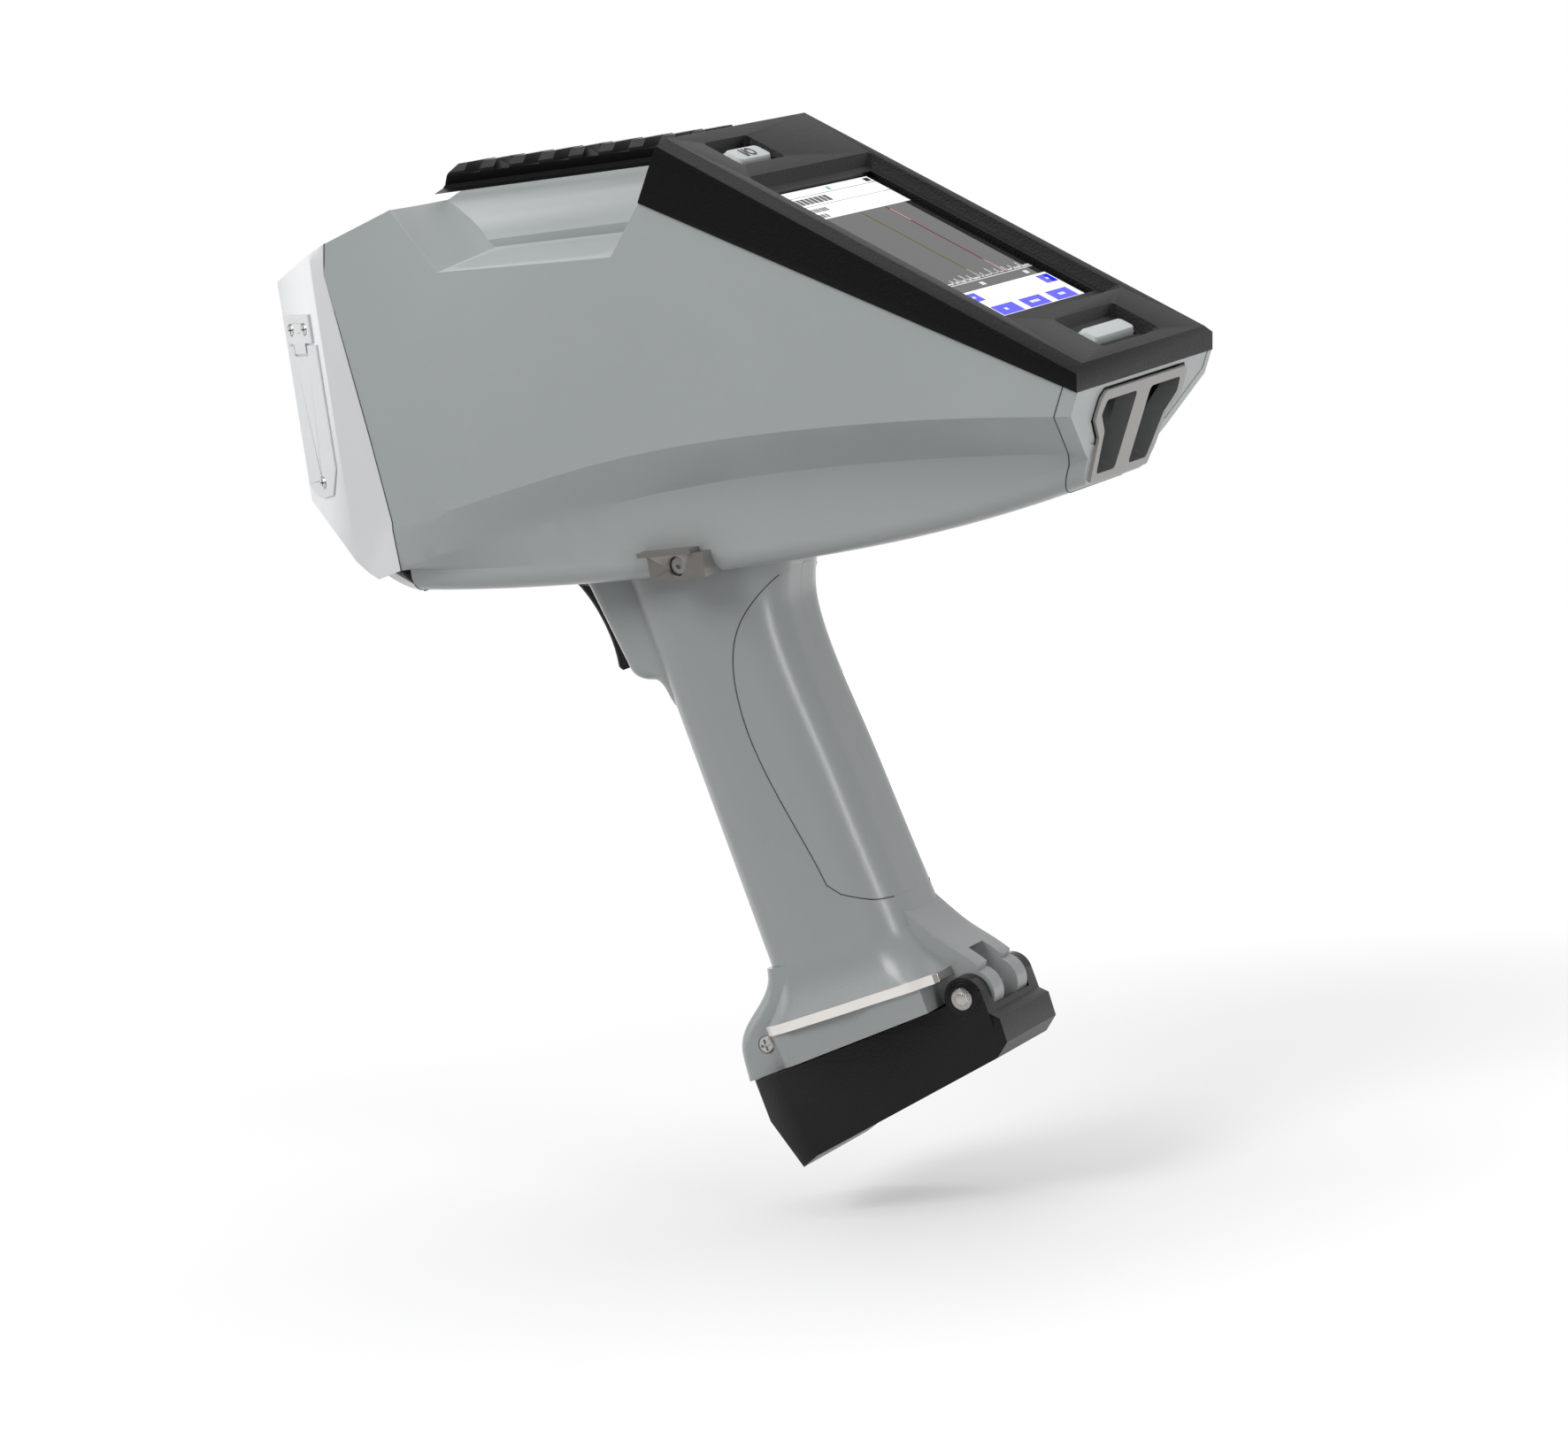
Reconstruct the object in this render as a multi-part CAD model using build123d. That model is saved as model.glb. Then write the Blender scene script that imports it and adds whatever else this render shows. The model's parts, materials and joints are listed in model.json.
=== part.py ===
"""Handheld XRF analyzer.

Frame: the origin is the centre of the measuring face. +X runs to the rear along the top rail,
+Z points up square to the rail, and y = 0 is the centre plane. Millimetres throughout.
"""
from build123d import *
from math import cos, radians, sin, tan
import os

os.makedirs("parts", exist_ok=True)

# ---- driving dimensions of the body -------------------------------------------------
BODY_HALF_WIDTH = 46.0
WALL = 2.6
KEEL_HALF_FRONT, KEEL_HALF_REAR = 40.0, 27.5      # where the swoosh band meets the keel
RIDGE_TOP, RIDGE_HALF = 51.3, 12.0
NOSE_HALF, NOSE_TOP, NOSE_BOTTOM = 33.0, 32.8, -31.9
FACET_END_X, FACET_END_Y = 19.5, 44.5              # rear edge of the slanted nose facet
SEAM_TOP_X, SEAM_BOTTOM_X = 26.2, 32.0             # nose seam at the top and at the bottom

# ---- rail: standard cross-slotted accessory rail ------------------------------------
RAIL_START, RAIL_END = 44.5, 135.0
RAIL_HALF_TOP, RAIL_HALF_WIDE, RAIL_HALF_NECK = 7.8, 10.6, 7.9
RAIL_TOP, RAIL_WIDE_Z, RAIL_UNDER_Z, RAIL_NECK_Z = 59.15, 57.0, 56.2, 53.5
RAIL_PITCH, RAIL_SLOT, RAIL_SLOT_DEPTH = 10.0, 5.23, 3.0
FIRST_SLOT_X = 55.4

# ---- display bezel ------------------------------------------------------------------
BEZEL_SLOPE = 32.67                                # degrees down to the rear
BEZEL_REAR = (257.3, -15.7)                        # rear edge of its top plane, x and z
BEZEL_HALF = 46.7
SCREEN_HALF, SCREEN_FROM, SCREEN_TO = 37.5, 25.6, 113.0
SCREEN_SINK = 2.9
LCD_WIDE, LCD_LONG = 57.0, 76.0
POWER_Y, POWER_U = -16.0, 124.9
START_U = 11.8
BUTTON_STROKE = 1.2

# ---- rear cap -----------------------------------------------------------------------
REAR_TILT = 26.3
REAR_TOP = (256.7, -23.0)
CAP_DEPTH = 4.65

# ---- pistol handle, in a frame that leans with it ------------------------------------
LEAN = 13.4
HANDLE_TOP = (111.3, -64.5)
GRIP_HALF, GRIP_CORNER = 18.5, 12.0
GRIP_WALL = 2.4
PAD_DEPTH = 1.4
COLLAR_TOP, COLLAR_BOTTOM = -117.8, -146.0
STRIP_TOP, STRIP_THICK = -132.4, 2.6
HINGE_T, HINGE_H = 38.0, -141.8
LOBE_R, EAR_R, HINGE_PIN_R = 7.0, 6.0, 2.1
DOOR_GAP = 0.4


def frame_of(x, z, slope):
    """A frame in the centre plane whose own x leans down by slope degrees."""
    return Location((x, 0, z), (0, slope, 0))


BEZEL = frame_of(*BEZEL_REAR, BEZEL_SLOPE)
HANDLE = frame_of(*HANDLE_TOP, -LEAN)
REAR = Plane(
    origin=(REAR_TOP[0], 0, REAR_TOP[1]), x_dir=(0, 1, 0),
    z_dir=(cos(radians(REAR_TILT)), 0, -sin(radians(REAR_TILT))),
)
FACET = Plane(
    origin=(0, -NOSE_HALF, 0), x_dir=(FACET_END_X, NOSE_HALF - FACET_END_Y, 0),
    z_dir=(NOSE_HALF - FACET_END_Y, -FACET_END_X, 0),
)
MIRROR = Plane.XZ


def solid(shape):
    """The one solid of a boolean result."""
    return max(shape.solids(), key=lambda s: s.volume)


def save(name, *shapes):
    pieces = [s for shape in shapes for s in shape.solids()]
    result = pieces[0] if len(pieces) == 1 else Compound(children=pieces)
    export_step(result, f"parts/{name}.step")
    return result


def poly(points):
    return make_face(Polyline(*points, close=True))


def side(points, half=60.0, y0=None, y1=None):
    """Side-view outline, points as (x, z), carried across the width."""
    face = Plane.XZ * poly(points)
    if y0 is None:
        return extrude(face, half, both=True)
    return Pos(0, y1, 0) * extrude(face, y1 - y0)


def block(x0, x1, y0, y1, z0, z1):
    return Pos((x0 + x1) / 2, (y0 + y1) / 2, (z0 + z1) / 2) * Box(x1 - x0, y1 - y0, z1 - z0)


def both_sides(shape):
    return shape + mirror(shape, MIRROR)


# ---- body form ------------------------------------------------------------------------
STATIONS = [20, 60, 100, 140, 180, 220, 262]         # where the body's sections stand along X
WAIST_X, KEEL_X = 165.0, 98.0                      # highest point of the swoosh, lowest of the keel


def keel_bottom(x):
    """Height of the body's bottom line: flat in the middle, rising to the nose and the rear."""
    return -65.0 + (0.0009 * (KEEL_X - x) ** 2 if x < KEEL_X else 3.3e-5 * (x - KEEL_X) ** 2.6)


def swoosh_top(x):
    return -25.1 - (0.00105 if x < WAIST_X else 0.0005) * (x - WAIST_X) ** 2


def swoosh_low(x):
    return -37.8 - (0.00095 if x < WAIST_X else 0.00055) * (x - WAIST_X) ** 2


def swoosh_half(x):
    return 27.3 + 0.0003 * (262 - x) ** 2


def keel_half(x):
    return 24.2 + 0.00026 * (262 - x) ** 2


def swoosh_cut(wall):
    """What the body lacks below the swoosh on the +Y side: a smooth loft along X."""
    sections = []
    round_r = 7.0
    for x in STATIONS:
        top, low, low_y = swoosh_top(x), swoosh_low(x), swoosh_half(x)
        keel_y, floor = keel_half(x) - wall, keel_bottom(x) + wall
        outer = top + (top - low) / (BODY_HALF_WIDTH - low_y) * (64 - BODY_HALF_WIDTH)
        upper = (low_y - wall * 0.6, low + wall)
        start, end = (keel_y, floor + round_r), (keel_y - round_r, floor)
        middle = (keel_y - round_r * 0.293, floor + round_r * 0.293)
        line = Polyline(end, (end[0], -85), (64, -85), (64, outer + wall * 1.3), upper, start)
        sections.append(Plane.YZ.offset(x) * make_face(line + ThreePointArc(start, middle, end)))
    return loft(sections)


def pocket_cut(wall):
    """The finger pocket beside the rail ridge on the +Y side."""
    low, out = wall * 1.15, wall * 1.1
    near = [(24.2 - out, 70), (67 - out, 34.4 - low), (117 + out, 34.0 - low), (150, 70)]
    edge = [(36.9 - out, 70), (62.9 - out, 30.3 - low), (119.9 + out, 28.4 - low), (153.8, 70)]
    reach = (64 - 17) / (46 - 17)
    far = [(n[0] + (e[0] - n[0]) * reach, n[1] + (e[1] - n[1]) * reach) for n, e in zip(near, edge)]
    back = (6 - 17) / (46 - 17)
    root = [(n[0] + (e[0] - n[0]) * back, n[1] + (e[1] - n[1]) * back) for n, e in zip(near, edge)]
    sections = [Plane.XZ.offset(-y) * poly(p) for y, p in ((6, root), (64, far))]
    wedge = loft(sections, ruled=True)
    foot = 18.0 - wall
    top = RIDGE_HALF - wall
    line = Polyline((foot, 36.5), (foot, 20), (-30, 20), (-30, 80), (top, 80), (top, RIDGE_TOP))
    sweep_in = ThreePointArc((top, RIDGE_TOP), (top + 1.7, 43.5), (foot, 36.5))
    ridge = Plane.YZ * make_face(line + sweep_in)
    return wedge - extrude(ridge, 300)


def body_form(wall=0.0):
    """Outer form of the whole body at wall = 0, and the hollow inside it for a wall."""
    over = 14 if wall else 0
    bottom = [(x, keel_bottom(x) + wall) for x in STATIONS]
    top = [
        (20, 40.45 - wall), (50, 49.5 - wall), (54, RIDGE_TOP - wall), (136.3, RIDGE_TOP - wall),
        (131.4, 42.5) if not wall else (150, RIDGE_TOP + over),
        (256.7 + over, -23.0 + over), (262 + over, -33.8),
    ]
    edge = Polyline(bottom[0], *top, bottom[-1])
    face = Plane.XZ * make_face(edge + Spline(*bottom))
    form = extrude(face, BODY_HALF_WIDTH - wall, both=True)
    form -= both_sides(swoosh_cut(wall))
    form -= both_sides(pocket_cut(wall))
    return form


# ---- nose -----------------------------------------------------------------------------
def nose_form(wall=0.0):
    """Nose block with the slanted side facets, from the measuring face back past its seam."""
    front = 3.0 if wall else 0.0
    end = 60
    levels = [(60, 23.0), (-76, 38.0)]                # height, x where the strip facet meets the side
    plans = []
    for z, edge_x in levels:
        half = [(front, NOSE_HALF - wall + front * 0.59), (FACET_END_X, FACET_END_Y - wall),
                (edge_x, BODY_HALF_WIDTH - wall), (end, BODY_HALF_WIDTH - wall)]
        plans.append(Plane.XY.offset(z) * poly(half + [(x, -y) for x, y in reversed(half)]))
    form = loft(plans, ruled=True)
    top_slope = (42.4 - NOSE_TOP) / 26.5
    low_slope = (61.5 + NOSE_BOTTOM) / 32.0
    outline = [
        (front, NOSE_TOP - wall + front * top_slope), (end, NOSE_TOP - wall + end * top_slope),
        (end, NOSE_BOTTOM + wall - end * low_slope), (front, NOSE_BOTTOM + wall - front * low_slope),
    ]
    return form & side(outline)


def seam_region(grow=0.0):
    """Everything in front of the seam between the nose and the housing."""
    line = [(26.6 + grow, 60), (26.6 + grow, 42.5), (24.9 + grow, 33.9), (31.7 + grow, -14.5),
            (34.8 + grow, -39.6), (32.4 + grow, -61.5), (31 + grow, -80)]
    return side([(-20, 60)] + line + [(-20, -80)])


def window_plate():
    """Measuring window plate let into the nose face, with its round aperture."""
    plate = Pos(0.8, 0, 0) * Rot(0, 90, 0) * extrude(RectangleRounded(44, 44, 5), 0.8, both=True)
    plate -= Pos(0.8, 0, 0) * Rot(0, 90, 0) * Cylinder(5.0, 4)
    for y in (-18, 18):
        for z in (-18, 18):
            plate -= Pos(0.8, y, z) * Rot(0, 90, 0) * Cylinder(1.5, 4)
    return plate


def facet_plate(points, lift):
    """A flat plate on the -Y side facet of the nose: points run along the facet and up."""
    plate = extrude(FACET * poly(points), lift)
    for s, z in FACET_SCREWS:
        plate -= FACET.location * Pos(s, z, 0) * Cylinder(1.8, 8)
    return plate


def cross_head(radius, height, recess=0.7):
    """Button-head screw with a cross recess, standing on z = 0."""
    head = Cylinder(radius, height, align=(Align.CENTER, Align.CENTER, Align.MIN))
    head = chamfer(head.edges().group_by(Axis.Z)[-1], height * 0.45)
    for turn in (0, 90):
        head -= Pos(0, 0, height) * Rot(0, 0, turn) * Box(radius * 1.3, radius * 0.3, 2 * recess)
    return head


RETAINER = [(1.6, 14.4), (1.6, 22.8), (17.6, 22.8), (17.6, 14.4), (13.2, 14.4), (13.2, 11.4),
            (6.0, 11.4), (6.0, 14.4)]
COVER = [(1.2, -27.0), (1.2, 13.8), (5.4, 13.8), (5.4, 10.8), (13.8, 10.8), (13.8, 13.8),
         (19.6, 13.8), (19.6, -22.7), (15.5, -30.4), (9.5, -31.2), (4.5, -29.8)]
FACET_SCREWS = [(5.4, 18.5), (14.0, 18.5), (10.4, -26.6)]


# ---- accessory rail ---------------------------------------------------------------------
def rail():
    half = [(RAIL_HALF_TOP, RAIL_TOP), (RAIL_HALF_WIDE, RAIL_WIDE_Z), (RAIL_HALF_WIDE, RAIL_UNDER_Z),
            (RAIL_HALF_NECK, RAIL_NECK_Z), (RAIL_HALF_NECK, 52.6), (11.2, RIDGE_TOP)]
    profile = Plane.YZ.offset(RAIL_START) * poly(half + [(-y, z) for y, z in reversed(half)])
    body = extrude(profile, RAIL_END - RAIL_START)
    body &= side([(RAIL_START, 47.0), (RAIL_START, 51.5), (52.2, 59.2), (52.2, 70), (RAIL_END, 70),
                  (RAIL_END, 47.0)])
    x = FIRST_SLOT_X
    while x < RAIL_END - RAIL_SLOT:
        body -= block(x, x + RAIL_SLOT, -20, 20, RAIL_TOP - RAIL_SLOT_DEPTH, 70)
        x += RAIL_PITCH
    for x in RAIL_SCREW_X:
        body -= Pos(x, 0, 54.0) * Cylinder(2.7, 12, align=(Align.CENTER, Align.CENTER, Align.MIN))
    return body


RAIL_SCREW_X = [FIRST_SLOT_X + RAIL_SLOT / 2 + RAIL_PITCH * n for n in (1, 4, 7)]


def rail_screws():
    return [Pos(x, 0, 54.0) * cross_head(2.6, 1.9) for x in RAIL_SCREW_X]


# ---- display bezel ------------------------------------------------------------------------
def plane_box(u0, u1, y0, y1, n0, n1):
    """A box on the bezel: u runs up the slope from the rear edge, n is above the top plane."""
    return BEZEL * block(-u1, -u0, y0, y1, n0, n1)


def recess(u0, u1, y0, y1, depth, slope):
    """A pocket in the bezel with sloping walls."""
    mid = (-(u0 + u1) / 2, (y0 + y1) / 2)
    top = Pos(*mid, 0.01) * RectangleRounded(u1 - u0, y1 - y0, 1.6)
    low = Pos(*mid, -depth) * RectangleRounded(u1 - u0 - 2 * slope, y1 - y0 - 2 * slope, 1.2)
    cut = loft([low, top])
    cut += Pos(*mid, 1.5) * Box(u1 - u0, y1 - y0, 2.98)
    return BEZEL * cut


def bezel_form(wall=0.0):
    outline = [(131.4, 42.5), (138.9, 55.9), (141.6, 60.0), (256.9, -13.0), (257.5, -17.6),
               (256.7, -23.0)]
    if wall:
        outline = [(127.0, 40.0), (134.9 + wall, 47.0), (143.9 + wall, 59.5 - 2 * wall),
                   (254.4 - wall, -13.9 - wall), (255.0 - wall, -26.0)]
    form = side(outline)
    h = BEZEL_HALF - wall
    drop = 1.9 if not wall else wall + 1.4
    section = [(-h, -40), (-h, -drop), (-42.0, -wall), (42.0, -wall), (h, -drop), (h, -40)]
    profile = Plane.YZ.offset(-160) * poly(section)
    form &= BEZEL * extrude(profile, 180)
    return form


def display_bezel():
    body = bezel_form() - bezel_form(3.2)
    body += (plane_box(SCREEN_FROM - 2, SCREEN_TO + 2, -40, 40, -6.5, -0.8) & bezel_form())
    body += (plane_box(116, 136, -34, 0, -7.0, -0.8) & bezel_form())
    body += (plane_box(1.5, 25, -23, 23, -6.2, -0.8) & bezel_form())
    body -= recess(SCREEN_FROM, SCREEN_TO, -SCREEN_HALF, SCREEN_HALF, SCREEN_SINK, 2.6)
    body -= plane_box(*GLASS_U, -31.5, 31.5, -9, 0)
    body -= plane_box(GLASS_U[0] - 2, GLASS_U[1] + 2, -33.5, 33.5, -9, -SCREEN_SINK - 1.2)
    body -= recess(119, 132.8, -30, -4, 3.4, 1.6)
    body -= recess(4, 20.5, -20, 20, 2.8, 2.0)
    for y, u, long, wide in BUTTONS:
        body -= plane_box(u - wide / 2 - 0.35, u + wide / 2 + 0.35, y - long / 2 - 0.35,
                          y + long / 2 + 0.35, -12, 0)
    return solid(body & bezel_form())


GLASS_U = (SCREEN_FROM + 5.2, SCREEN_TO - 5.2)
BUTTONS = [(POWER_Y, POWER_U, 20.0, 7.0), (0.0, START_U, 28.0, 6.4)]


def button(y, u, long, wide, top, foot):
    """A push button: a soft-cornered cap, and a flange below the bezel that keeps it in."""
    low = Pos(-u, y, foot) * RectangleRounded(wide, long, 1.8)
    mid = Pos(-u, y, top - 1.6) * RectangleRounded(wide, long, 1.8)
    cap = extrude(low, top - 1.6 - foot)
    cap += loft([mid, Pos(-u, y, top) * RectangleRounded(wide - 1.4, long - 1.6, 1.6)])
    cap += Pos(-u, y, foot - 0.5) * Box(wide + 3.0, long + 3.0, 1.0)
    return BEZEL * cap


def touch_glass():
    return plane_box(GLASS_U[0] - 1.6, GLASS_U[1] + 1.6, -33.0, 33.0, -SCREEN_SINK - 2.5,
                     -SCREEN_SINK - 1.2)


def lcd_module():
    return plane_box(GLASS_U[0] - 0.8, GLASS_U[1] + 0.8, -32.0, 32.0, -SCREEN_SINK - 5.5,
                     -SCREEN_SINK - 2.5)


# ---- rear cap and cooling --------------------------------------------------------------
def behind_plane(depth):
    """Everything to the rear of the plane that lies depth in front of the rear face."""
    return extrude(REAR.offset(-depth) * Rectangle(300, 300), 120)


def half_outline(points):
    """A closed outline from its +Y half, points as (y, v)."""
    return points + [(-y, v) for y, v in reversed(points)]


VENT_OUTLINE = half_outline([(27.0, -1.9), (29.2, -4.0), (29.2, -10.5), (22.6, -16.5), (19.5, -30.4)])
VENT_HOLE = [(4.6, -4.8), (25.0, -4.8), (25.9, -9.2), (20.2, -14.8), (17.0, -28.0), (4.6, -28.0)]


def rear_cap(outer):
    body = (outer & behind_plane(CAP_DEPTH)) - behind_plane(0)
    opening = half_outline([(27.4, -3.4), (27.4, -9.8), (21.0, -15.6), (18.2, -29.0)])
    return body - extrude(REAR.offset(-20) * poly(opening), 40)


def vent_frame():
    """Raised frame with two notched openings and a bar between them."""
    face = poly(VENT_OUTLINE)
    face = fillet(face.vertices(), 1.4)
    frame = extrude(REAR * face, 0.9)
    tongue = half_outline([(27.2, -3.6), (27.2, -9.9), (20.8, -15.7), (18.0, -28.8)])
    frame += extrude(REAR.offset(-CAP_DEPTH) * poly(tongue), CAP_DEPTH)
    hole = fillet(poly(VENT_HOLE).vertices(), 1.6)
    for opening in (hole, mirror(hole, Plane.YZ)):
        frame -= extrude(REAR.offset(-20) * opening, 40)
    return frame


def heat_sink():
    """Finned block behind the opening on the -Y side."""
    base = block(207, 211, -21.5, -3, -44, -27)
    y = -20.9
    while y < -3.5:
        base += block(211, 236, y, y + 0.9, -43.5, -27.5)
        y += 2.7
    return base


def air_duct():
    """Quarter-round duct behind the opening on the +Y side."""
    quarter = Pos(11, 11) * Rectangle(22, 22)
    arc = extrude(Plane.XZ.offset(-21.5) * Pos(214, -46) * (Circle(20) & quarter), 18.5)
    core = extrude(Plane.XZ.offset(-22) * Pos(214, -46) * (Circle(18.6) & quarter), 19.5)
    return (arc - core) + block(208, 214.5, 3, 21.5, -27.4, -26)


# ---- handle (built upright in the leaning frame, then placed) ---------------------------
GRIP_FRONT = -22.0
GRIP_REAR = [(46.0, 16), (36.5, 2), (28.8, -9), (24.8, -17), (23.0, -28), (24.2, -60), (25.6, -90),
             (27.0, COLLAR_TOP)]                   # rear edge in side view, from the top down


def rounded_plan(front, rear, half, corner, height):
    return Pos((front + rear) / 2, 0, height) * RectangleRounded(rear - front, 2 * half, corner)


def grip_form(inset=0.0):
    """The grip: its side view carried across the width, with large round corners."""
    rear = [(t - inset, h) for t, h in GRIP_REAR]
    face = Plane.XZ * make_face(Spline(*rear) + Polyline(
        rear[-1], (GRIP_FRONT + inset, COLLAR_TOP), (GRIP_FRONT + inset, 16), rear[0]))
    form = extrude(face, GRIP_HALF - inset, both=True)
    corners = form.edges().filter_by(lambda e: e.length > 60)
    return fillet(corners, GRIP_CORNER - inset)


TRIGGER_SLOT_HALF = 7.6
PIVOT_T, PIVOT_H, PIVOT_R = -29.5, 0.5, 1.5


def trigger_housing():
    """The block in front of the grip that the trigger works in, with the guard hump below."""
    line = Polyline((-21, -36), (-16, -36), (-16, 16), (-37.2, 16), (-34.2, 4.8), (-31.0, -20.6))
    hump = Spline((-31.0, -20.6), (-29.3, -24.4), (-26.4, -26.2), (-23.6, -27.4), (-22.2, -30.6),
                  (-21, -36))
    body = extrude(Plane.XZ * make_face(line + hump), 14.6, both=True)
    front = body.edges().filter_by(lambda e: e.center().X < -22 and abs(e.center().Y) > 14)
    return fillet(front, 4.0)


def region(line, half=40):
    return extrude(Plane.XZ * make_face(line), half, both=True)


def pad_region():
    """Side-view outline of the soft pad on the rear of the grip."""
    curve = Spline((30, -9), (18.5, -15.3), (9.6, -23.2), (3.3, -40.2), (4.6, -70.3), (9.6, -98.9))
    rest = Polyline((9.6, -98.9), (13.0, -102.6), (21.4, -107.2), (36, -111.5), (60, -111.5),
                    (60, -9), (30, -9))
    return region(curve + rest)


def strap_region():
    return region(Polyline((-40, -29.8), (-20.5, -29.8), (-17.6, -36), (-17.3, COLLAR_TOP),
                           (-40, COLLAR_TOP), (-40, -29.8)))


BATTERY = (-15.5, 18.5, 13.2, -141.5, -40.0)        # front, rear, half width, bottom, top


def handle_parts(outer):
    """The two handle shells, the two rear pads and the front strap, placed in the frame."""
    grip = grip_form()
    layer = grip - grip_form(PAD_DEPTH)
    rear_pad = layer & pad_region()
    strap = (layer & strap_region()) - block(-60, 60, -60, 60, -30, 30)
    body = grip + trigger_housing() - rear_pad - strap
    body -= block(-45, -20.2, -TRIGGER_SLOT_HALF, TRIGGER_SLOT_HALF, -21.6, 30)
    body -= block(-17.2, 20.2, -14.6, 14.6, COLLAR_TOP - 5, -26)
    body -= Pos(PIVOT_T, 0, PIVOT_H) * Rot(90, 0, 0) * Cylinder(PIVOT_R, 25.2)
    foot = collar()
    body = HANDLE * (body - foot) - outer
    rear_pad = HANDLE * (rear_pad - foot) - outer
    return body, rear_pad, HANDLE * (strap - foot)


def trigger():
    """Curved blade on a hub that turns on the trigger pin."""
    blade = Spline((-41.6, 7.4), (-39.2, 1.2), (-37.6, -6.9), (-37.3, -12.3), (-38.0, -19.0))
    rest = Polyline((-38.0, -19.0), (-36.4, -20.9), (-32.4, -20.9), (-31.6, -12.0), (-31.2, -4.0),
                    (-26.8, -3.0), (-25.4, 0.5), (-27.0, 4.2), (-31.0, 5.4), (-36.5, 5.2),
                    (-41.6, 7.4))
    body = extrude(Plane.XZ * make_face(blade + rest), 6.9, both=True)
    tip = body.edges().filter_by(lambda e: e.center().X < -36.4 and abs(e.center().Y) > 6.5
                                 and e.length > 10)
    body = fillet(tip, 1.6)
    body -= Pos(PIVOT_T, 0, PIVOT_H) * Rot(90, 0, 0) * Cylinder(PIVOT_R + 0.05, 40)
    return HANDLE * body


def trigger_pin():
    return HANDLE * Pos(PIVOT_T, 0, PIVOT_H) * Rot(90, 0, 0) * Cylinder(PIVOT_R, 25.2)


def trigger_spring():
    """Compression spring between the blade and the back of its slot."""
    coil = Helix(pitch=1.9, height=9.5, radius=2.2)
    wire = sweep(Plane(coil @ 0, z_dir=coil % 0) * Circle(0.35), path=coil)
    return HANDLE * Pos(-30.6, 0, -15.0) * Rot(0, 90, 0) * wire


def trigger_switch():
    return HANDLE * (block(-24.0, -20.2, -5, 5, -9.5, -2.0) + block(-24.6, -24.0, -1.2, 1.2, -7, -4.6))


# ---- collar at the foot of the handle ---------------------------------------------------
LIP_EDGE = [(-21.6, -116.5), (-23.5, -121.0), (-29.5, -126.5), (-35.2, -130.8), (-38.4, -135.0),
            (-39.6, -140.0), (-40.6, -147.9)]
SPINE_EDGE = [(25.4, -112.0), (28.6, -117.0), (33.0, -123.4), (38.0, -129.0), (42.6, -134.6)]


def collar_plane(h):
    """Everything above the seam between collar and door, which drops a little to the front."""
    return side([(-80, h - 2.55), (80, h + 6.6), (80, 60), (-80, 60)], half=80)


SEAM_H = -146.0


def collar():
    """Flared collar with the front lip, the rear spine and the two hinge lobes."""
    neck = [
        rounded_plan(-22.3, 27.0, 18.5, 12.0, COLLAR_TOP), rounded_plan(-22.9, 28.4, 19.2, 12.0, -123),
        rounded_plan(-25.0, 31.5, 21.2, 12.0, -128.5), rounded_plan(-27.6, 34.6, 23.2, 11.0, -132.4),
    ]
    body = loft(neck)
    low = [rounded_plan(-27.6, 34.6, 22.6, 11.0, -132.4), rounded_plan(-27.0, 34.0, 22.0, 10.0, -152)]
    body += loft(low)
    lip = Plane.XZ * make_face(Spline(*LIP_EDGE) + Polyline(LIP_EDGE[-1], (0, -147.9), (0, -118),
                                                           LIP_EDGE[0]))
    lip = extrude(lip, 18.0, both=True)
    tall = lip.edges().filter_by(lambda e: e.center().X < -24 and abs(e.center().Y) > 17
                                 and e.length > 12)
    body += fillet(tall, 6.0)
    spine = Plane.XZ * make_face(Spline(*SPINE_EDGE) + Polyline(
        SPINE_EDGE[-1], (38, -141.8), (20, -141.8), (20, -112.0), SPINE_EDGE[0]))
    spine = extrude(spine, 11.0, both=True)
    spine += Pos(HINGE_T, 0, HINGE_H) * Rot(90, 0, 0) * Cylinder(LOBE_R, 22.0)
    spine -= block(31.5, 60, -4.6, 4.6, -160, -129.5)
    body += spine
    body &= collar_plane(SEAM_H) + Pos(HINGE_T, 0, HINGE_H) * Rot(90, 0, 0) * Cylinder(LOBE_R, 22.0)
    for y in (-1, 1):
        body -= block(28, 60, min(y * 11.3, y * 30), max(y * 11.3, y * 30), -160, -134.2)
    body -= block(-17.2, 20.2, -14.6, 14.6, -160, -110)
    body -= Pos(HINGE_T, 0, HINGE_H) * Rot(90, 0, 0) * Cylinder(HINGE_PIN_R, 60)
    for y in (-1, 1):
        body -= Pos(-28.0, y * 17.2, -137.3) * Rot(-90 * y, 0, 0) * Cylinder(2.7, 4)
    return body


def strip_plate():
    """Stainless plate let into the collar, seen as a bright strip along each side."""
    half = [(34.6, 12.0), (34.6, 20.4), (4.0, 24.2), (-16.0, 23.6), (-25.4, 19.0), (-25.4, 12.0)]
    plan = poly(half + [(t, -y) for t, y in reversed(half)])
    plate = Pos(0, 0, STRIP_TOP - STRIP_THICK) * extrude(plan, STRIP_THICK)
    return plate - block(-18.4, 21.4, -15.8, 15.8, -160, -110)


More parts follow.
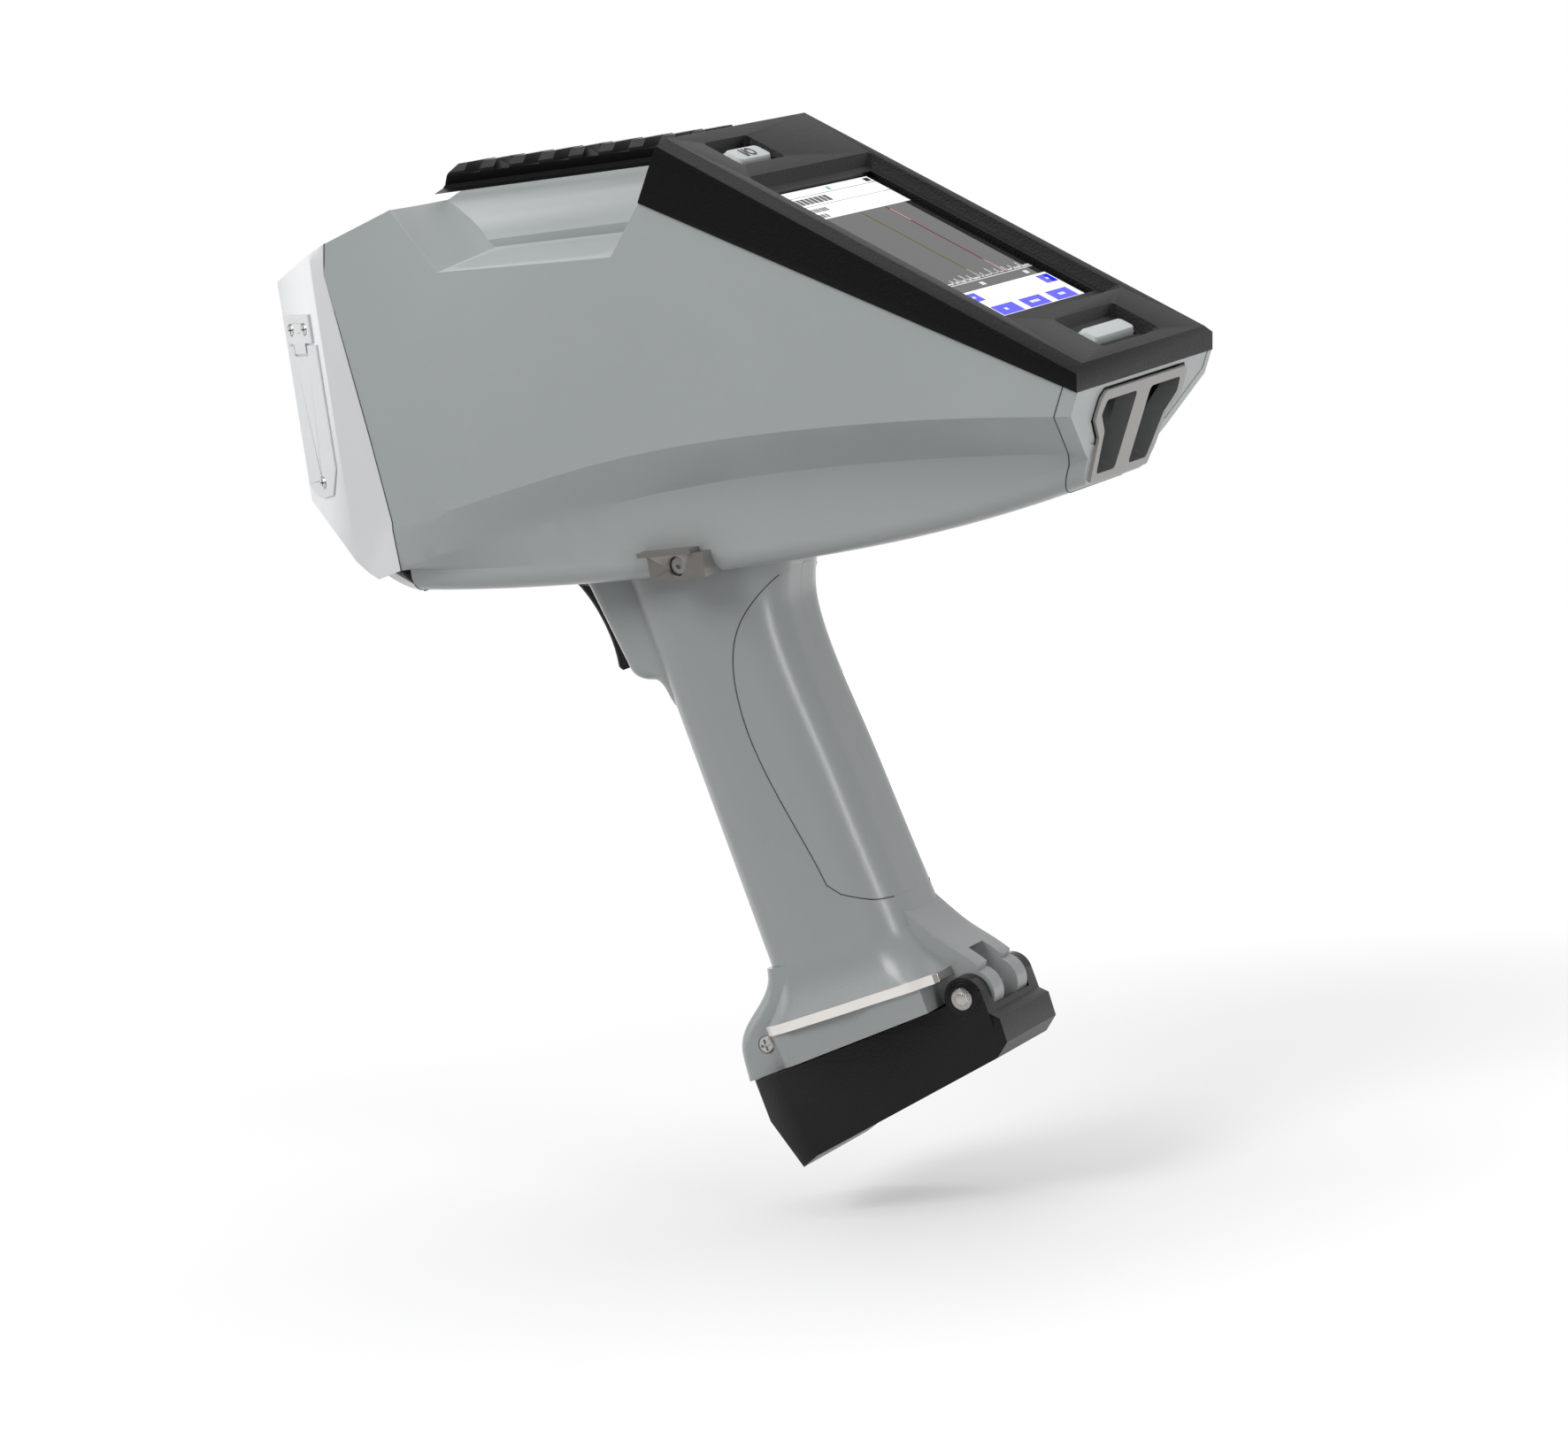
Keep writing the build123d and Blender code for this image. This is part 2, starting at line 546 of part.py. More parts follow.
def battery_door():
    """Boot under the collar: a hollow cap that swings on two ears outside the hinge lobes."""
    profile = Polyline((-41.5, -120), (-40.4, -149.5), (-29.0, -174.2), (-22.5, -172.0), (41.5, -161.0),
                       (46.2, -157.5), (46.6, -150.4), (44.0, -148.2), (44.0, -120), (-41.5, -120))
    form = region(profile)
    half = [(-41.5, 9.0), (-36.0, 17.5), (-26.0, 21.6), (-8.0, 22.4), (12.0, 21.0), (31.0, 17.1),
            (46.8, 16.6)]
    plan = poly(half + [(t, -y) for t, y in reversed(half)])
    form &= Pos(0, 0, -190) * extrude(plan, 80)
    form -= collar_plane(SEAM_H - DOOR_GAP)
    hollow = block(-24.0, 28.0, -16.5, 16.5, -158, -120)
    form -= hollow
    form -= Pos(HINGE_T, 0, HINGE_H) * Rot(90, 0, 0) * Cylinder(LOBE_R + 0.6, 23.2)
    for y in (-14.3, 14.3):
        ear = Pos(HINGE_T, y, HINGE_H) * Rot(90, 0, 0) * Cylinder(EAR_R, 5.4)
        foot = block(HINGE_T - 5.0, HINGE_T + 6.0, y - 2.7, y + 2.7, -152, HINGE_H)
        form += ear + foot
    form -= Pos(HINGE_T, 0, HINGE_H) * Rot(90, 0, 0) * Cylinder(HINGE_PIN_R + 0.05, 60)
    return form


def hinge_pin():
    pin = Pos(HINGE_T, 0, HINGE_H) * Rot(90, 0, 0) * Cylinder(HINGE_PIN_R, 34.6)
    for y in (-1, 1):
        head = Pos(HINGE_T, y * 17.3, HINGE_H) * Rot(-90 * y, 0, 0) * Cylinder(
            3.2, 0.9, align=(Align.CENTER, Align.CENTER, Align.MIN))
        pin += head
    return HANDLE * pin


def collar_screws():
    return [HANDLE * Pos(-28.0, y * 17.2, -137.3) * Rot(-90 * y, 0, 0) * cross_head(2.6, 1.2)
            for y in (-1, 1)]


# ---- docking lugs ------------------------------------------------------------------------
LUG_X, LUG_Z = 119.0, -61.2


def docking_lug(y):
    s = 1 if y > 0 else -1
    lug = block(110.0, 128.0, min(s * 24, s * 34), max(s * 24, s * 34), -64.9, -57.8)
    lug += block(107.4, 124.6, min(s * 26, s * 35.2), max(s * 26, s * 35.2), -57.8, -56.4)
    lug -= Pos(LUG_X, s * 34, LUG_Z) * Rot(90, 0, 0) * Cylinder(2.9, 7.0)
    return lug


def docking_screw(s):
    screw = Pos(LUG_X, s * 30.5, LUG_Z) * Rot(-90 * s, 0, 0) * Cylinder(
        2.4, 1.8, align=(Align.CENTER, Align.CENTER, Align.MIN))
    return screw - Pos(LUG_X, s * 32.4, LUG_Z) * Rot(90, 0, 0) * extrude(
        RegularPolygon(1.2, 6), 1.2, both=True)


# ---- what the instrument holds ------------------------------------------------------------
BEAM_RISE, DETECTOR_DROP = 22.0, 30.0
WHEEL_Y, WHEEL_Z, WHEEL_R, WHEEL_X = 14.5, 4.0, 17.5, 8.0


def along(angle, start, length, radius):
    """A cylinder that points at the middle of the measuring face."""
    return Rot(0, -angle, 0) * Pos(start + length / 2, 0, 0) * Rot(0, 90, 0) * Cylinder(radius, length)


def filter_wheel():
    wheel = Pos(WHEEL_X, WHEEL_Y, WHEEL_Z) * Rot(0, 90, 0) * Cylinder(WHEEL_R, 1.6)
    wheel += Pos(WHEEL_X + 1.6, WHEEL_Y, WHEEL_Z) * Rot(0, 90, 0) * Cylinder(4.0, 2.0)
    for n in range(6):
        a = radians(n * 60)
        wheel -= Pos(WHEEL_X, WHEEL_Y + 12.5 * cos(a), WHEEL_Z + 12.5 * sin(a)) * Rot(
            0, 90, 0) * Cylinder(4.4, 4)
    return wheel - Pos(WHEEL_X, WHEEL_Y, WHEEL_Z) * Rot(0, 90, 0) * Cylinder(1.55, 20)


def filter_motor():
    shaft = Pos(12.5, WHEEL_Y, WHEEL_Z) * Rot(0, 90, 0) * Cylinder(1.5, 11.4)
    return shaft + Pos(20.0, WHEEL_Y, WHEEL_Z) * Rot(0, 90, 0) * Cylinder(4.8, 14)


# ---- assembly ------------------------------------------------------------------------------
LEFT, RIGHT = block(-60, 300, -80, 0, -300, 120), block(-60, 300, 0, 80, -300, 120)

outer = body_form()
hollow = body_form(WALL)
lugs = {"left": docking_lug(-1), "right": docking_lug(1)}
front = seam_region()
shell = (outer - hollow) - front - behind_plane(CAP_DEPTH)
shell -= lugs["left"] + lugs["right"]
save("left_housing", solid(shell & LEFT))
save("right_housing", solid(shell & RIGHT))

nose = nose_form() & front
nose -= both_sides(swoosh_cut(0))
nose -= nose_form(3.0)
nose -= block(-1, 1.6, -22, 22, -22, 22)
nose -= Pos(0, 0, 0) * Rot(0, 90, 0) * Cylinder(9.0, 12)
save("nose_cap", solid(nose))
save("measuring_window_plate", window_plate())
save("window_film", Pos(1.75, 0, 0) * Rot(0, 90, 0) * Cylinder(8.0, 0.3))
save("nose_seal", Pos(2.4, 0, 0) * Rot(0, 90, 0) * (Cylinder(8.8, 1.0) - Cylinder(6.4, 1.2)))
save("filter_port_retainer", facet_plate(RETAINER, 0.8))
save("filter_port_cover", facet_plate(COVER, 0.6))
save("facet_screws", *[FACET.location * Pos(s, z, 0) * cross_head(1.7, 0.9)
                       for s, z in FACET_SCREWS])

save("accessory_rail", rail())
save("rail_screws", *rail_screws())

save("display_bezel", display_bezel())
save("touch_glass", touch_glass())
save("lcd_module", lcd_module())
power = button(*BUTTONS[0], -0.4, -7.4)
start = button(*BUTTONS[1], -0.9, -6.6)
save("power_button", power)
save("start_button", start)

save("rear_cap", solid(rear_cap(outer) - hollow))
save("vent_frame", vent_frame())
save("heat_sink", heat_sink())
save("air_duct", air_duct())

handle, pads, strap = handle_parts(outer)
save("handle_left", solid(handle & LEFT))
save("handle_right", solid(handle & RIGHT))
save("grip_pad_left", solid(pads & LEFT))
save("grip_pad_right", solid(pads & RIGHT))
save("front_strap", strap)
save("trigger", trigger())
save("trigger_pin", trigger_pin())
save("trigger_spring", trigger_spring())
save("trigger_switch", trigger_switch())

plate = strip_plate()
foot = collar() - plate
save("handle_collar", HANDLE * foot)
save("base_plate", HANDLE * plate)
save("collar_screws", *collar_screws())
save("battery_door", HANDLE * battery_door())
save("hinge_pin", hinge_pin())
front_t, rear_t, half_y, low_h, top_h = BATTERY
save("battery", HANDLE * block(front_t, rear_t, -half_y, half_y, low_h, top_h))
save("battery_contacts", HANDLE * block(-10, 13, -10, 10, top_h, top_h + 6))

for name, lug in lugs.items():
    save(f"docking_lug_{name}", lug)
save("docking_screws", docking_screw(-1), docking_screw(1))

save("xray_tube", along(BEAM_RISE, 18, 50, 8.4))
save("detector_module", along(-DETECTOR_DROP, 18, 34, 7.0))
save("filter_wheel", filter_wheel())
save("filter_motor", filter_motor())
save("high_voltage_supply", block(76, 134, -26, 26, -16, 20))
save("main_board", plane_box(32, 118, -36, 36, -24.0, -22.4))
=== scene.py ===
"""Finishes, small details, light and camera for the handheld XRF analyzer."""
import bmesh
import bpy
import json
from math import exp, radians, sin
from mathutils import Matrix, Vector
from mathutils.bvhtree import BVHTree


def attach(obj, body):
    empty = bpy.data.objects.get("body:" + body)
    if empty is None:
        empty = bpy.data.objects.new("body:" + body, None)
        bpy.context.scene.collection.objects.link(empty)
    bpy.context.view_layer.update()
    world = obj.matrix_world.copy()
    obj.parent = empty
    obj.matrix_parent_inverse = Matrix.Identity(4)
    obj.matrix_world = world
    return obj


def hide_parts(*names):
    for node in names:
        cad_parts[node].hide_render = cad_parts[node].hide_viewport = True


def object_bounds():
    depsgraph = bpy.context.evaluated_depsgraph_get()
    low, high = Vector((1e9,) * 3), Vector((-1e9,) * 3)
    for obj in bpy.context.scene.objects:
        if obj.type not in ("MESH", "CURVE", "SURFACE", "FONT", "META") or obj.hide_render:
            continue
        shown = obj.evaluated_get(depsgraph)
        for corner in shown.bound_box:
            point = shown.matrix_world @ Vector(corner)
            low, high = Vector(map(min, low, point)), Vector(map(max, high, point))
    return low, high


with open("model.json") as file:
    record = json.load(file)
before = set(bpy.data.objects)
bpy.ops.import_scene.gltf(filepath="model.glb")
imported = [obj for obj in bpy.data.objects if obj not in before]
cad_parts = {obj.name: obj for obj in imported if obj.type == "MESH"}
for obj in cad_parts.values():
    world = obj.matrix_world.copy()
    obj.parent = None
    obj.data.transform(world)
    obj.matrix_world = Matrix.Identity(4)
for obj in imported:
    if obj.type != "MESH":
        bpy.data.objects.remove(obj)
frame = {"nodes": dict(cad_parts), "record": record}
CAD_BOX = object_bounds()
NODE_BODY = {n: body for body, names in frame["record"]["behaviour"]["bodies"].items() for n in names}
SLOT = {s["node"]: s["material_slot"] for s in frame["record"]["subparts"]}
MM = 0.001
SIDES = ((-1, "left"), (1, "right"))                 # sign of y, name
NEAR = 0.1                                           # mm within which two places count as one
MERGE = 1e-6                                         # metres within which loose corners are joined

# ---- where things are: lengths in mm, angles in degrees ---------------------------------
BEZEL_SLOPE = 32.67
BEZEL_REAR = Vector((257.3, 0.0, -15.7)) * MM       # middle of the bezel's rear edge
REAR_TILT = 26.3
REAR_TOP = Vector((256.7, 0.0, -23.0)) * MM         # middle of the rear cap's top edge
CAP_DEPTH = 4.65                                     # of the rear cap
HANDLE_LEAN = 13.4
HANDLE_TOP = Vector((111.3, 0.0, -64.5)) * MM
HINGE_T, HINGE_H = 38.0 * MM, -141.8 * MM           # hinge axis: along the handle's foot, down from its top

REAR_OUT = Matrix.Rotation(radians(REAR_TILT), 4, "Y") @ Vector((1, 0, 0))
REAR_UP = Matrix.Rotation(radians(REAR_TILT), 4, "Y") @ Vector((0, 0, 1))
BEZEL = Matrix.Translation(BEZEL_REAR) @ Matrix.Rotation(radians(BEZEL_SLOPE), 4, "Y")
HANDLE = Matrix.Translation(HANDLE_TOP) @ Matrix.Rotation(radians(-HANDLE_LEAN), 4, "Y")


# ---- shared shader groups -------------------------------------------------------------
def group(name, inputs, outputs):
    """An empty shader group with named sockets: (name, type, default)."""
    tree = bpy.data.node_groups.new(name, "ShaderNodeTree")
    for label, kind, value in inputs:
        socket = tree.interface.new_socket(label, in_out="INPUT", socket_type=kind)
        if value is not None:
            socket.default_value = value
    for label, kind in outputs:
        tree.interface.new_socket(label, in_out="OUTPUT", socket_type=kind)
    return tree, tree.nodes.new("NodeGroupInput"), tree.nodes.new("NodeGroupOutput")


def make_grain_group():
    """Fine moulded grain: a height for bump, and a soft variation for colour and roughness."""
    tree, inside, outside = group(
        "moulded_grain",
        [("Vector", "NodeSocketVector", None), ("Scale", "NodeSocketFloat", 2500.0)],
        [("Height", "NodeSocketFloat"), ("Cloud", "NodeSocketFloat")],
    )
    fine = tree.nodes.new("ShaderNodeTexNoise")
    fine.inputs["Detail"].default_value = 2.0
    cloud = tree.nodes.new("ShaderNodeTexNoise")
    cloud.inputs["Scale"].default_value = 18.0
    cloud.inputs["Detail"].default_value = 3.0
    tree.links.new(inside.outputs["Vector"], fine.inputs["Vector"])
    tree.links.new(inside.outputs["Scale"], fine.inputs["Scale"])
    tree.links.new(inside.outputs["Vector"], cloud.inputs["Vector"])
    tree.links.new(fine.outputs["Fac"], outside.inputs["Height"])
    tree.links.new(cloud.outputs["Fac"], outside.inputs["Cloud"])
    return tree


def make_brush_group():
    """Straight brushing: long streaks across one direction of the piece."""
    tree, inside, outside = group(
        "brushed_streaks",
        [("Vector", "NodeSocketVector", None), ("Stretch", "NodeSocketVector", None)],
        [("Height", "NodeSocketFloat")],
    )
    mapping = tree.nodes.new("ShaderNodeMapping")
    streak = tree.nodes.new("ShaderNodeTexNoise")
    streak.inputs["Scale"].default_value = 1.0
    streak.inputs["Detail"].default_value = 4.0
    tree.links.new(inside.outputs["Vector"], mapping.inputs["Vector"])
    tree.links.new(inside.outputs["Stretch"], mapping.inputs["Scale"])
    tree.links.new(mapping.outputs["Vector"], streak.inputs["Vector"])
    tree.links.new(streak.outputs["Fac"], outside.inputs["Height"])
    return tree


GRAIN = make_grain_group()
BRUSH = make_brush_group()


def map_range(tree, source, reach, levels, smooth=False):
    """A value that goes from one level to the other while its source crosses the reach."""
    node = tree.nodes.new("ShaderNodeMapRange")
    if smooth:
        node.interpolation_type = "SMOOTHSTEP"
    node.inputs["From Min"].default_value, node.inputs["From Max"].default_value = reach
    node.inputs["To Min"].default_value, node.inputs["To Max"].default_value = levels
    tree.links.new(source, node.inputs["Value"])
    return node.outputs["Result"]


def srgb(level):
    """One 0-255 screen value as a linear one."""
    c = level / 255.0
    return c / 12.92 if c <= 0.04045 else ((c + 0.055) / 1.055) ** 2.4


def colour(r, g, b):
    return (srgb(r), srgb(g), srgb(b), 1.0)


class Finish:
    """A material under construction: its tree, its shader and its Object coordinates."""

    def __init__(self, name):
        self.material = bpy.data.materials.new(name)
        self.material.use_nodes = True
        self.tree = self.material.node_tree
        self.shader = self.tree.nodes["Principled BSDF"]
        self.coords = self.tree.nodes.new("ShaderNodeTexCoord").outputs["Object"]

    def node(self, kind):
        return self.tree.nodes.new(kind)

    def link(self, a, b):
        self.tree.links.new(a, b)

    def set(self, **values):
        for name, value in values.items():
            self.shader.inputs[name.replace("_", " ")].default_value = value

    def blend(self, mask, low, high, socket):
        """A colour socket of the shader that wanders between two close tones."""
        ramp = self.node("ShaderNodeMix")
        ramp.data_type = "RGBA"
        ramp.inputs["A"].default_value = low
        ramp.inputs["B"].default_value = high
        self.link(mask, ramp.inputs["Factor"])
        self.link(ramp.outputs["Result"], self.shader.inputs[socket])

    def roughness(self, mask, low, high):
        self.link(map_range(self.tree, mask, (0, 1), (low, high)), self.shader.inputs["Roughness"])

    def bump(self, height, distance):
        bump = self.node("ShaderNodeBump")
        bump.inputs["Distance"].default_value = distance
        bump.inputs["Strength"].default_value = 1.0
        self.link(height, bump.inputs["Height"])
        self.link(bump.outputs["Normal"], self.shader.inputs["Normal"])

    def grain(self, scale):
        """The moulded grain at a scale, on Object coordinates."""
        grain = self.node("ShaderNodeGroup")
        grain.node_tree = GRAIN
        grain.inputs["Scale"].default_value = scale
        self.link(self.coords, grain.inputs["Vector"])
        return grain.outputs

    def math(self, operation, *sources):
        """A sum or a product of other nodes' values."""
        node = self.node("ShaderNodeMath")
        node.operation = operation
        for source, socket in zip(sources, node.inputs):
            self.link(source, socket)
        return node.outputs[0]


def grained(name, low, high, rough, scale, depth, **values):
    """Moulded or painted surface with a fine grain and a faint tonal cloud."""
    f = Finish(name)
    grain = f.grain(scale)
    f.blend(grain["Cloud"], low, high, "Base Color")
    f.roughness(grain["Cloud"], *rough)
    f.bump(grain["Height"], depth)
    f.set(**values)
    return f.material


def brushed(name, tone, rough, stretch, depth, metallic=1.0):
    """Brushed metal: its streaks run along the axis of the smallest stretch."""
    f = Finish(name)
    streak = f.node("ShaderNodeGroup")
    streak.node_tree = BRUSH
    streak.inputs["Stretch"].default_value = stretch
    f.link(f.coords, streak.inputs["Vector"])
    f.roughness(streak.outputs["Height"], *rough)
    f.bump(streak.outputs["Height"], depth)
    f.set(Base_Color=tone, Metallic=metallic)
    return f.material


GLASS_ROUGH = (0.03, 0.05)
LIT_DIM = 0.94                                       # what a lit tone falls to in its fine grain
LIT_GRAIN = 5000.0


def lit(name, tone):
    """A lit patch of the display under its glass: it glows, and reflects as the glass does."""
    f = Finish(name)
    grain = f.grain(LIT_GRAIN)
    dim = tuple(c * LIT_DIM for c in tone[:3]) + (1.0,)
    f.blend(grain["Height"], dim, tone, "Emission Color")
    f.roughness(grain["Cloud"], *GLASS_ROUGH)
    f.set(Base_Color=colour(4, 4, 4), Emission_Strength=1.0)
    return f.material


# Each finish: two close tones, roughness, scale and depth of its grain, and its other shader values.
body_paint = grained("body_paint", colour(150, 155, 155), colour(154, 159, 159), (0.36, 0.42), 2600, 3e-5,
                     Coat_Weight=0.2, Coat_Roughness=0.25)
grip_paint = grained("grip_paint", colour(139, 143, 143), colour(143, 147, 147), (0.3, 0.36), 2200, 4e-5,
                     Coat_Weight=0.35, Coat_Roughness=0.22)
frame_paint = grained("vent_frame_paint", colour(150, 148, 144), colour(155, 153, 149), (0.42, 0.5), 2200,
                      3e-5)
bezel_moulding = grained("bezel_moulding", colour(7, 7, 7), colour(10, 10, 10), (0.38, 0.44), 1500, 1.2e-4,
                         Specular_IOR_Level=0.2)
door_rubber = grained("door_rubber", colour(7, 7, 7), colour(10, 10, 10), (0.3, 0.36), 1400, 6e-5,
                      Specular_IOR_Level=0.35)
trigger_moulding = grained("trigger_moulding", colour(12, 12, 12), colour(16, 16, 16), (0.32, 0.38), 1800,
                           4e-5, Specular_IOR_Level=0.4)
rail_coat = grained("rail_hard_coat", colour(10, 10, 10), colour(13, 13, 13), (0.36, 0.46), 2600, 4e-5,
                    Specular_IOR_Level=0.35)
key_plastic = grained("key_plastic", colour(178, 183, 184), colour(184, 189, 190), (0.3, 0.34), 2400, 2e-5,
                      Coat_Weight=0.3, Coat_Roughness=0.2)
duct_plastic = grained("duct_plastic", colour(96, 98, 98), colour(106, 108, 108), (0.45, 0.55), 2000, 4e-5)
fin_metal = grained("fin_metal", colour(98, 100, 102), colour(106, 108, 110), (0.4, 0.5), 2600, 3e-5,
                    Metallic=0.7)
nose_metal = grained("nose_metal", colour(220, 222, 224), colour(225, 227, 229), (0.34, 0.4), 3000, 3e-5,
                     Metallic=0.35)
nose_plate_metal = grained("nose_plate_metal", colour(208, 210, 212), colour(214, 216, 218), (0.36, 0.42),
                           3000, 3e-5, Metallic=0.35)
ALONG_X = (60, 3000, 3000)                           # stretch of brushing that runs along x
steel_plate = brushed("steel_plate", colour(188, 184, 180), (0.18, 0.32), ALONG_X, 2e-5)
# A near-white, barely metallic copy of the steel for the collar strips: its brightness is partly a painted
# reflection of the lamp they face.
strip_steel_painted_reflection = brushed("strip_steel_painted_reflection", colour(238, 234, 230), (0.18, 0.3), ALONG_X, 2e-5, metallic=0.25)
screw_steel = grained("screw_steel", colour(196, 195, 193), colour(202, 201, 199), (0.22, 0.3), 2600, 1e-5,
                      Metallic=0.8)
lug_steel = grained("lug_steel", colour(150, 145, 141), colour(158, 153, 149), (0.26, 0.34), 2600, 1e-5,
                    Metallic=0.75)
board_resin = grained("board_resin", colour(24, 84, 48), colour(28, 92, 52), (0.3, 0.4), 2400, 2e-5)
cell_wrap = grained("cell_wrap", colour(38, 40, 46), colour(44, 46, 52), (0.4, 0.5), 2000, 3e-5)
seal_rubber = grained("seal_rubber", colour(18, 18, 18), colour(22, 22, 22), (0.6, 0.7), 1600, 4e-5)
window_film = grained("window_film", colour(150, 112, 52), colour(160, 120, 58), (0.15, 0.2), 900, 1e-5)
seam_grey = grained("seam_grey", colour(58, 60, 60), colour(66, 68, 68), (0.6, 0.7), 2000, 1e-5)
print_black = grained("print_black", colour(16, 16, 16), colour(20, 20, 20), (0.4, 0.5), 1800, 1e-5)
cover_glass = grained("cover_glass", colour(5, 5, 6), colour(7, 7, 8), GLASS_ROUGH, 300, 1e-7)

SLOT_FINISH = {
    "body_grey": body_paint, "handle_grey": grip_paint, "nose_metal": nose_metal,
    "plate_metal": steel_plate, "screw_steel": screw_steel, "rail_black": rail_coat,
    "bezel_black": bezel_moulding, "glass": cover_glass, "display": cover_glass,
    "button_grey": key_plastic, "door_black": door_rubber, "trigger_black": trigger_moulding,
    "spring_steel": screw_steel, "film": window_film, "seal_rubber": seal_rubber,
    "fin_metal": fin_metal, "duct_black": duct_plastic, "tube_metal": screw_steel,
    "board_green": board_resin, "cell_wrap": cell_wrap, "supply_case": duct_plastic,
}
NODE_FINISH = {                                      # nodes whose finish isn't their slot's
    "docking_lug_left": lug_steel, "docking_lug_right": lug_steel,
    "vent_frame": frame_paint, "filter_port_retainer": nose_plate_metal,
    "filter_port_cover": nose_plate_metal,
}


# ---- pieces -----------------------------------------------------------------------------
def add_to_scene(name, data):
    obj = bpy.data.objects.new(name, data)
    bpy.context.scene.collection.objects.link(obj)
    return obj


def add_piece(name, mesh, body, material, place=None):
    """A finished piece in the shared frame that rides on a CAD body."""
    if place is not None:
        mesh.transform(place)
    mesh.materials.clear()
    mesh.materials.append(material)
    piece = add_to_scene(name, mesh)
    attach(piece, body)
    return piece


def mesh_of(bm, name, smooth=None):
    """Turns a bmesh into a mesh with outward faces; smooth is the angle of its soft edges."""
    bmesh.ops.recalc_face_normals(bm, faces=bm.faces)
    mesh = bpy.data.meshes.new(name)
    bm.to_mesh(mesh)
    bm.free()
    if smooth:
        mesh.shade_smooth()
        mesh.set_sharp_from_angle(angle=radians(smooth))
    return mesh


SOFT_EDGES = {                                       # node, width of its rounded edges in mm
    "left_housing": 0.8, "right_housing": 0.8, "nose_cap": 0.6, "display_bezel": 2.2, "rear_cap": 0.8,
    "vent_frame": 0.35, "power_button": 0.7, "start_button": 0.7, "battery_door": 1.6,
    "handle_collar": 0.7, "handle_left": 0.4, "handle_right": 0.4, "grip_pad_left": 0.25,
    "grip_pad_right": 0.25, "front_strap": 0.25, "trigger": 0.5, "accessory_rail": 0.25,
    "docking_lug_left": 0.35, "docking_lug_right": 0.35, "base_plate": 0.25,
    "filter_port_retainer": 0.2, "filter_port_cover": 0.2, "hinge_pin": 0.25,
}
DARK_INSIDE = {"vent_frame": -0.9}                   # node, depth in mm below which its walls are dark
LARGE_ROUND = {"battery_door": 3.2, "display_bezel": 2.2}    # node, radius in mm of its long outer edges
LONG_EDGE, LARGE_TURN = 9.0, 22                      # mm and degrees that such an edge has at least
FLAT_TURN, SOFT_TURN = 0.5, 28                       # degrees: faces that count as one, edges that stay soft


def round_long_edges(bm, radius):
    """Merges flat faces, then rounds the long convex edges that face outwards."""
    bmesh.ops.dissolve_limit(bm, angle_limit=radians(FLAT_TURN), verts=bm.verts, edges=bm.edges)
    centre = sum((v.co for v in bm.verts), Vector()) / len(bm.verts)
    edges = []
    for e in bm.edges:
        if len(e.link_faces) != 2 or not e.is_convex or e.calc_length() < LONG_EDGE * MM:
            continue
        if e.calc_face_angle() < radians(LARGE_TURN):
            continue
        middle = (e.verts[0].co + e.verts[1].co) / 2
        if all(f.normal.dot(middle - centre) > 0 for f in e.link_faces):
            edges.append(e)
    bmesh.ops.bevel(bm, geom=edges, offset=radius * MM, offset_type="OFFSET", segments=5, profile=0.5,
                    affect="EDGES", material=-1, clamp_overlap=True)
    bmesh.ops.triangulate(bm, faces=[f for f in bm.faces if len(f.verts) > 4])


def finish_of(node):
    return NODE_FINISH.get(node) or SLOT_FINISH[SLOT[node]]


def soften(node, width):
    """A copy of a CAD node whose edges are rounded, as moulded and machined edges are."""
    source = frame["nodes"][node]
    bm = bmesh.new()
    bm.from_mesh(source.data)
    bmesh.ops.remove_doubles(bm, verts=bm.verts, dist=MERGE)
    if node in LARGE_ROUND:
        round_long_edges(bm, LARGE_ROUND[node])
    mesh = bpy.data.meshes.new(node + "_finished")
    bm.to_mesh(mesh)
    bm.free()
    piece = add_piece(node + "_finished", mesh, NODE_BODY[node], finish_of(node))
    mesh.shade_smooth()
    mesh.set_sharp_from_angle(angle=radians(SOFT_TURN))
    if node in DARK_INSIDE:
        mesh.materials.append(duct_plastic)
        for face in mesh.polygons:
            if (face.center - REAR_TOP).dot(REAR_OUT) < DARK_INSIDE[node] * MM:
                face.material_index = 1
    bevel = piece.modifiers.new("edges", "BEVEL")
    bevel.width = width * MM
    bevel.segments = 3
    bevel.limit_method = "ANGLE"
    bevel.angle_limit = radians(SOFT_TURN)
    bevel.harden_normals = True
    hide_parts(node)


def dress_nodes():
    """Rounded copies for the nodes whose edges show, and a finish for every other node."""
    for node, obj in frame["nodes"].items():
        if node in SOFT_EDGES:
            soften(node, SOFT_EDGES[node])
        else:
            obj.data.materials.clear()
            obj.data.materials.append(finish_of(node))


# ---- display picture: u up the slope from the bezel's rear edge, y across, in mm ----------
LCD_LOW, LCD_HIGH = 31.3, 107.3                      # ends of the lit area
LCD_HALF = 28.5
LCD_LIFT = -4.05                                     # just above the cover glass
LAYER, PATCH = 0.03, 0.02                            # step between two tones, thickness of a lit patch
HEAD, FOOT = LCD_HIGH - 15.5, LCD_LOW + 14.5         # where the title field ends and the keys begin
BAND = LCD_HALF - 4.0                                # where the painted reflection of the glass on the graph field stops, leaving a black band along the far edge
STATUS, TITLE = LCD_HIGH - 3.4, LCD_HIGH - 8.6       # the rules below the status line and the title line
TEXT_FROM = -27.0                                    # where each line of writing begins
BASE = FOOT + 4.0                                    # base line of the measured curve
CURVE_STEPS, CURVE_MARGIN, CURVE_REST = 220, 0.8, 0.9
CURVE_WIDE, MARKER_WIDE, PEAK_WIDE = 0.12, 0.14, 0.22
RIPPLES = [(0.3, 9.1, 0.0), (0.25, 15.7, 1.0)]       # height, pace and shift of the curve's unrest
MARKER_RED, MARKER_GREEN = 11.5, -4.0                # places of the two upright marker lines
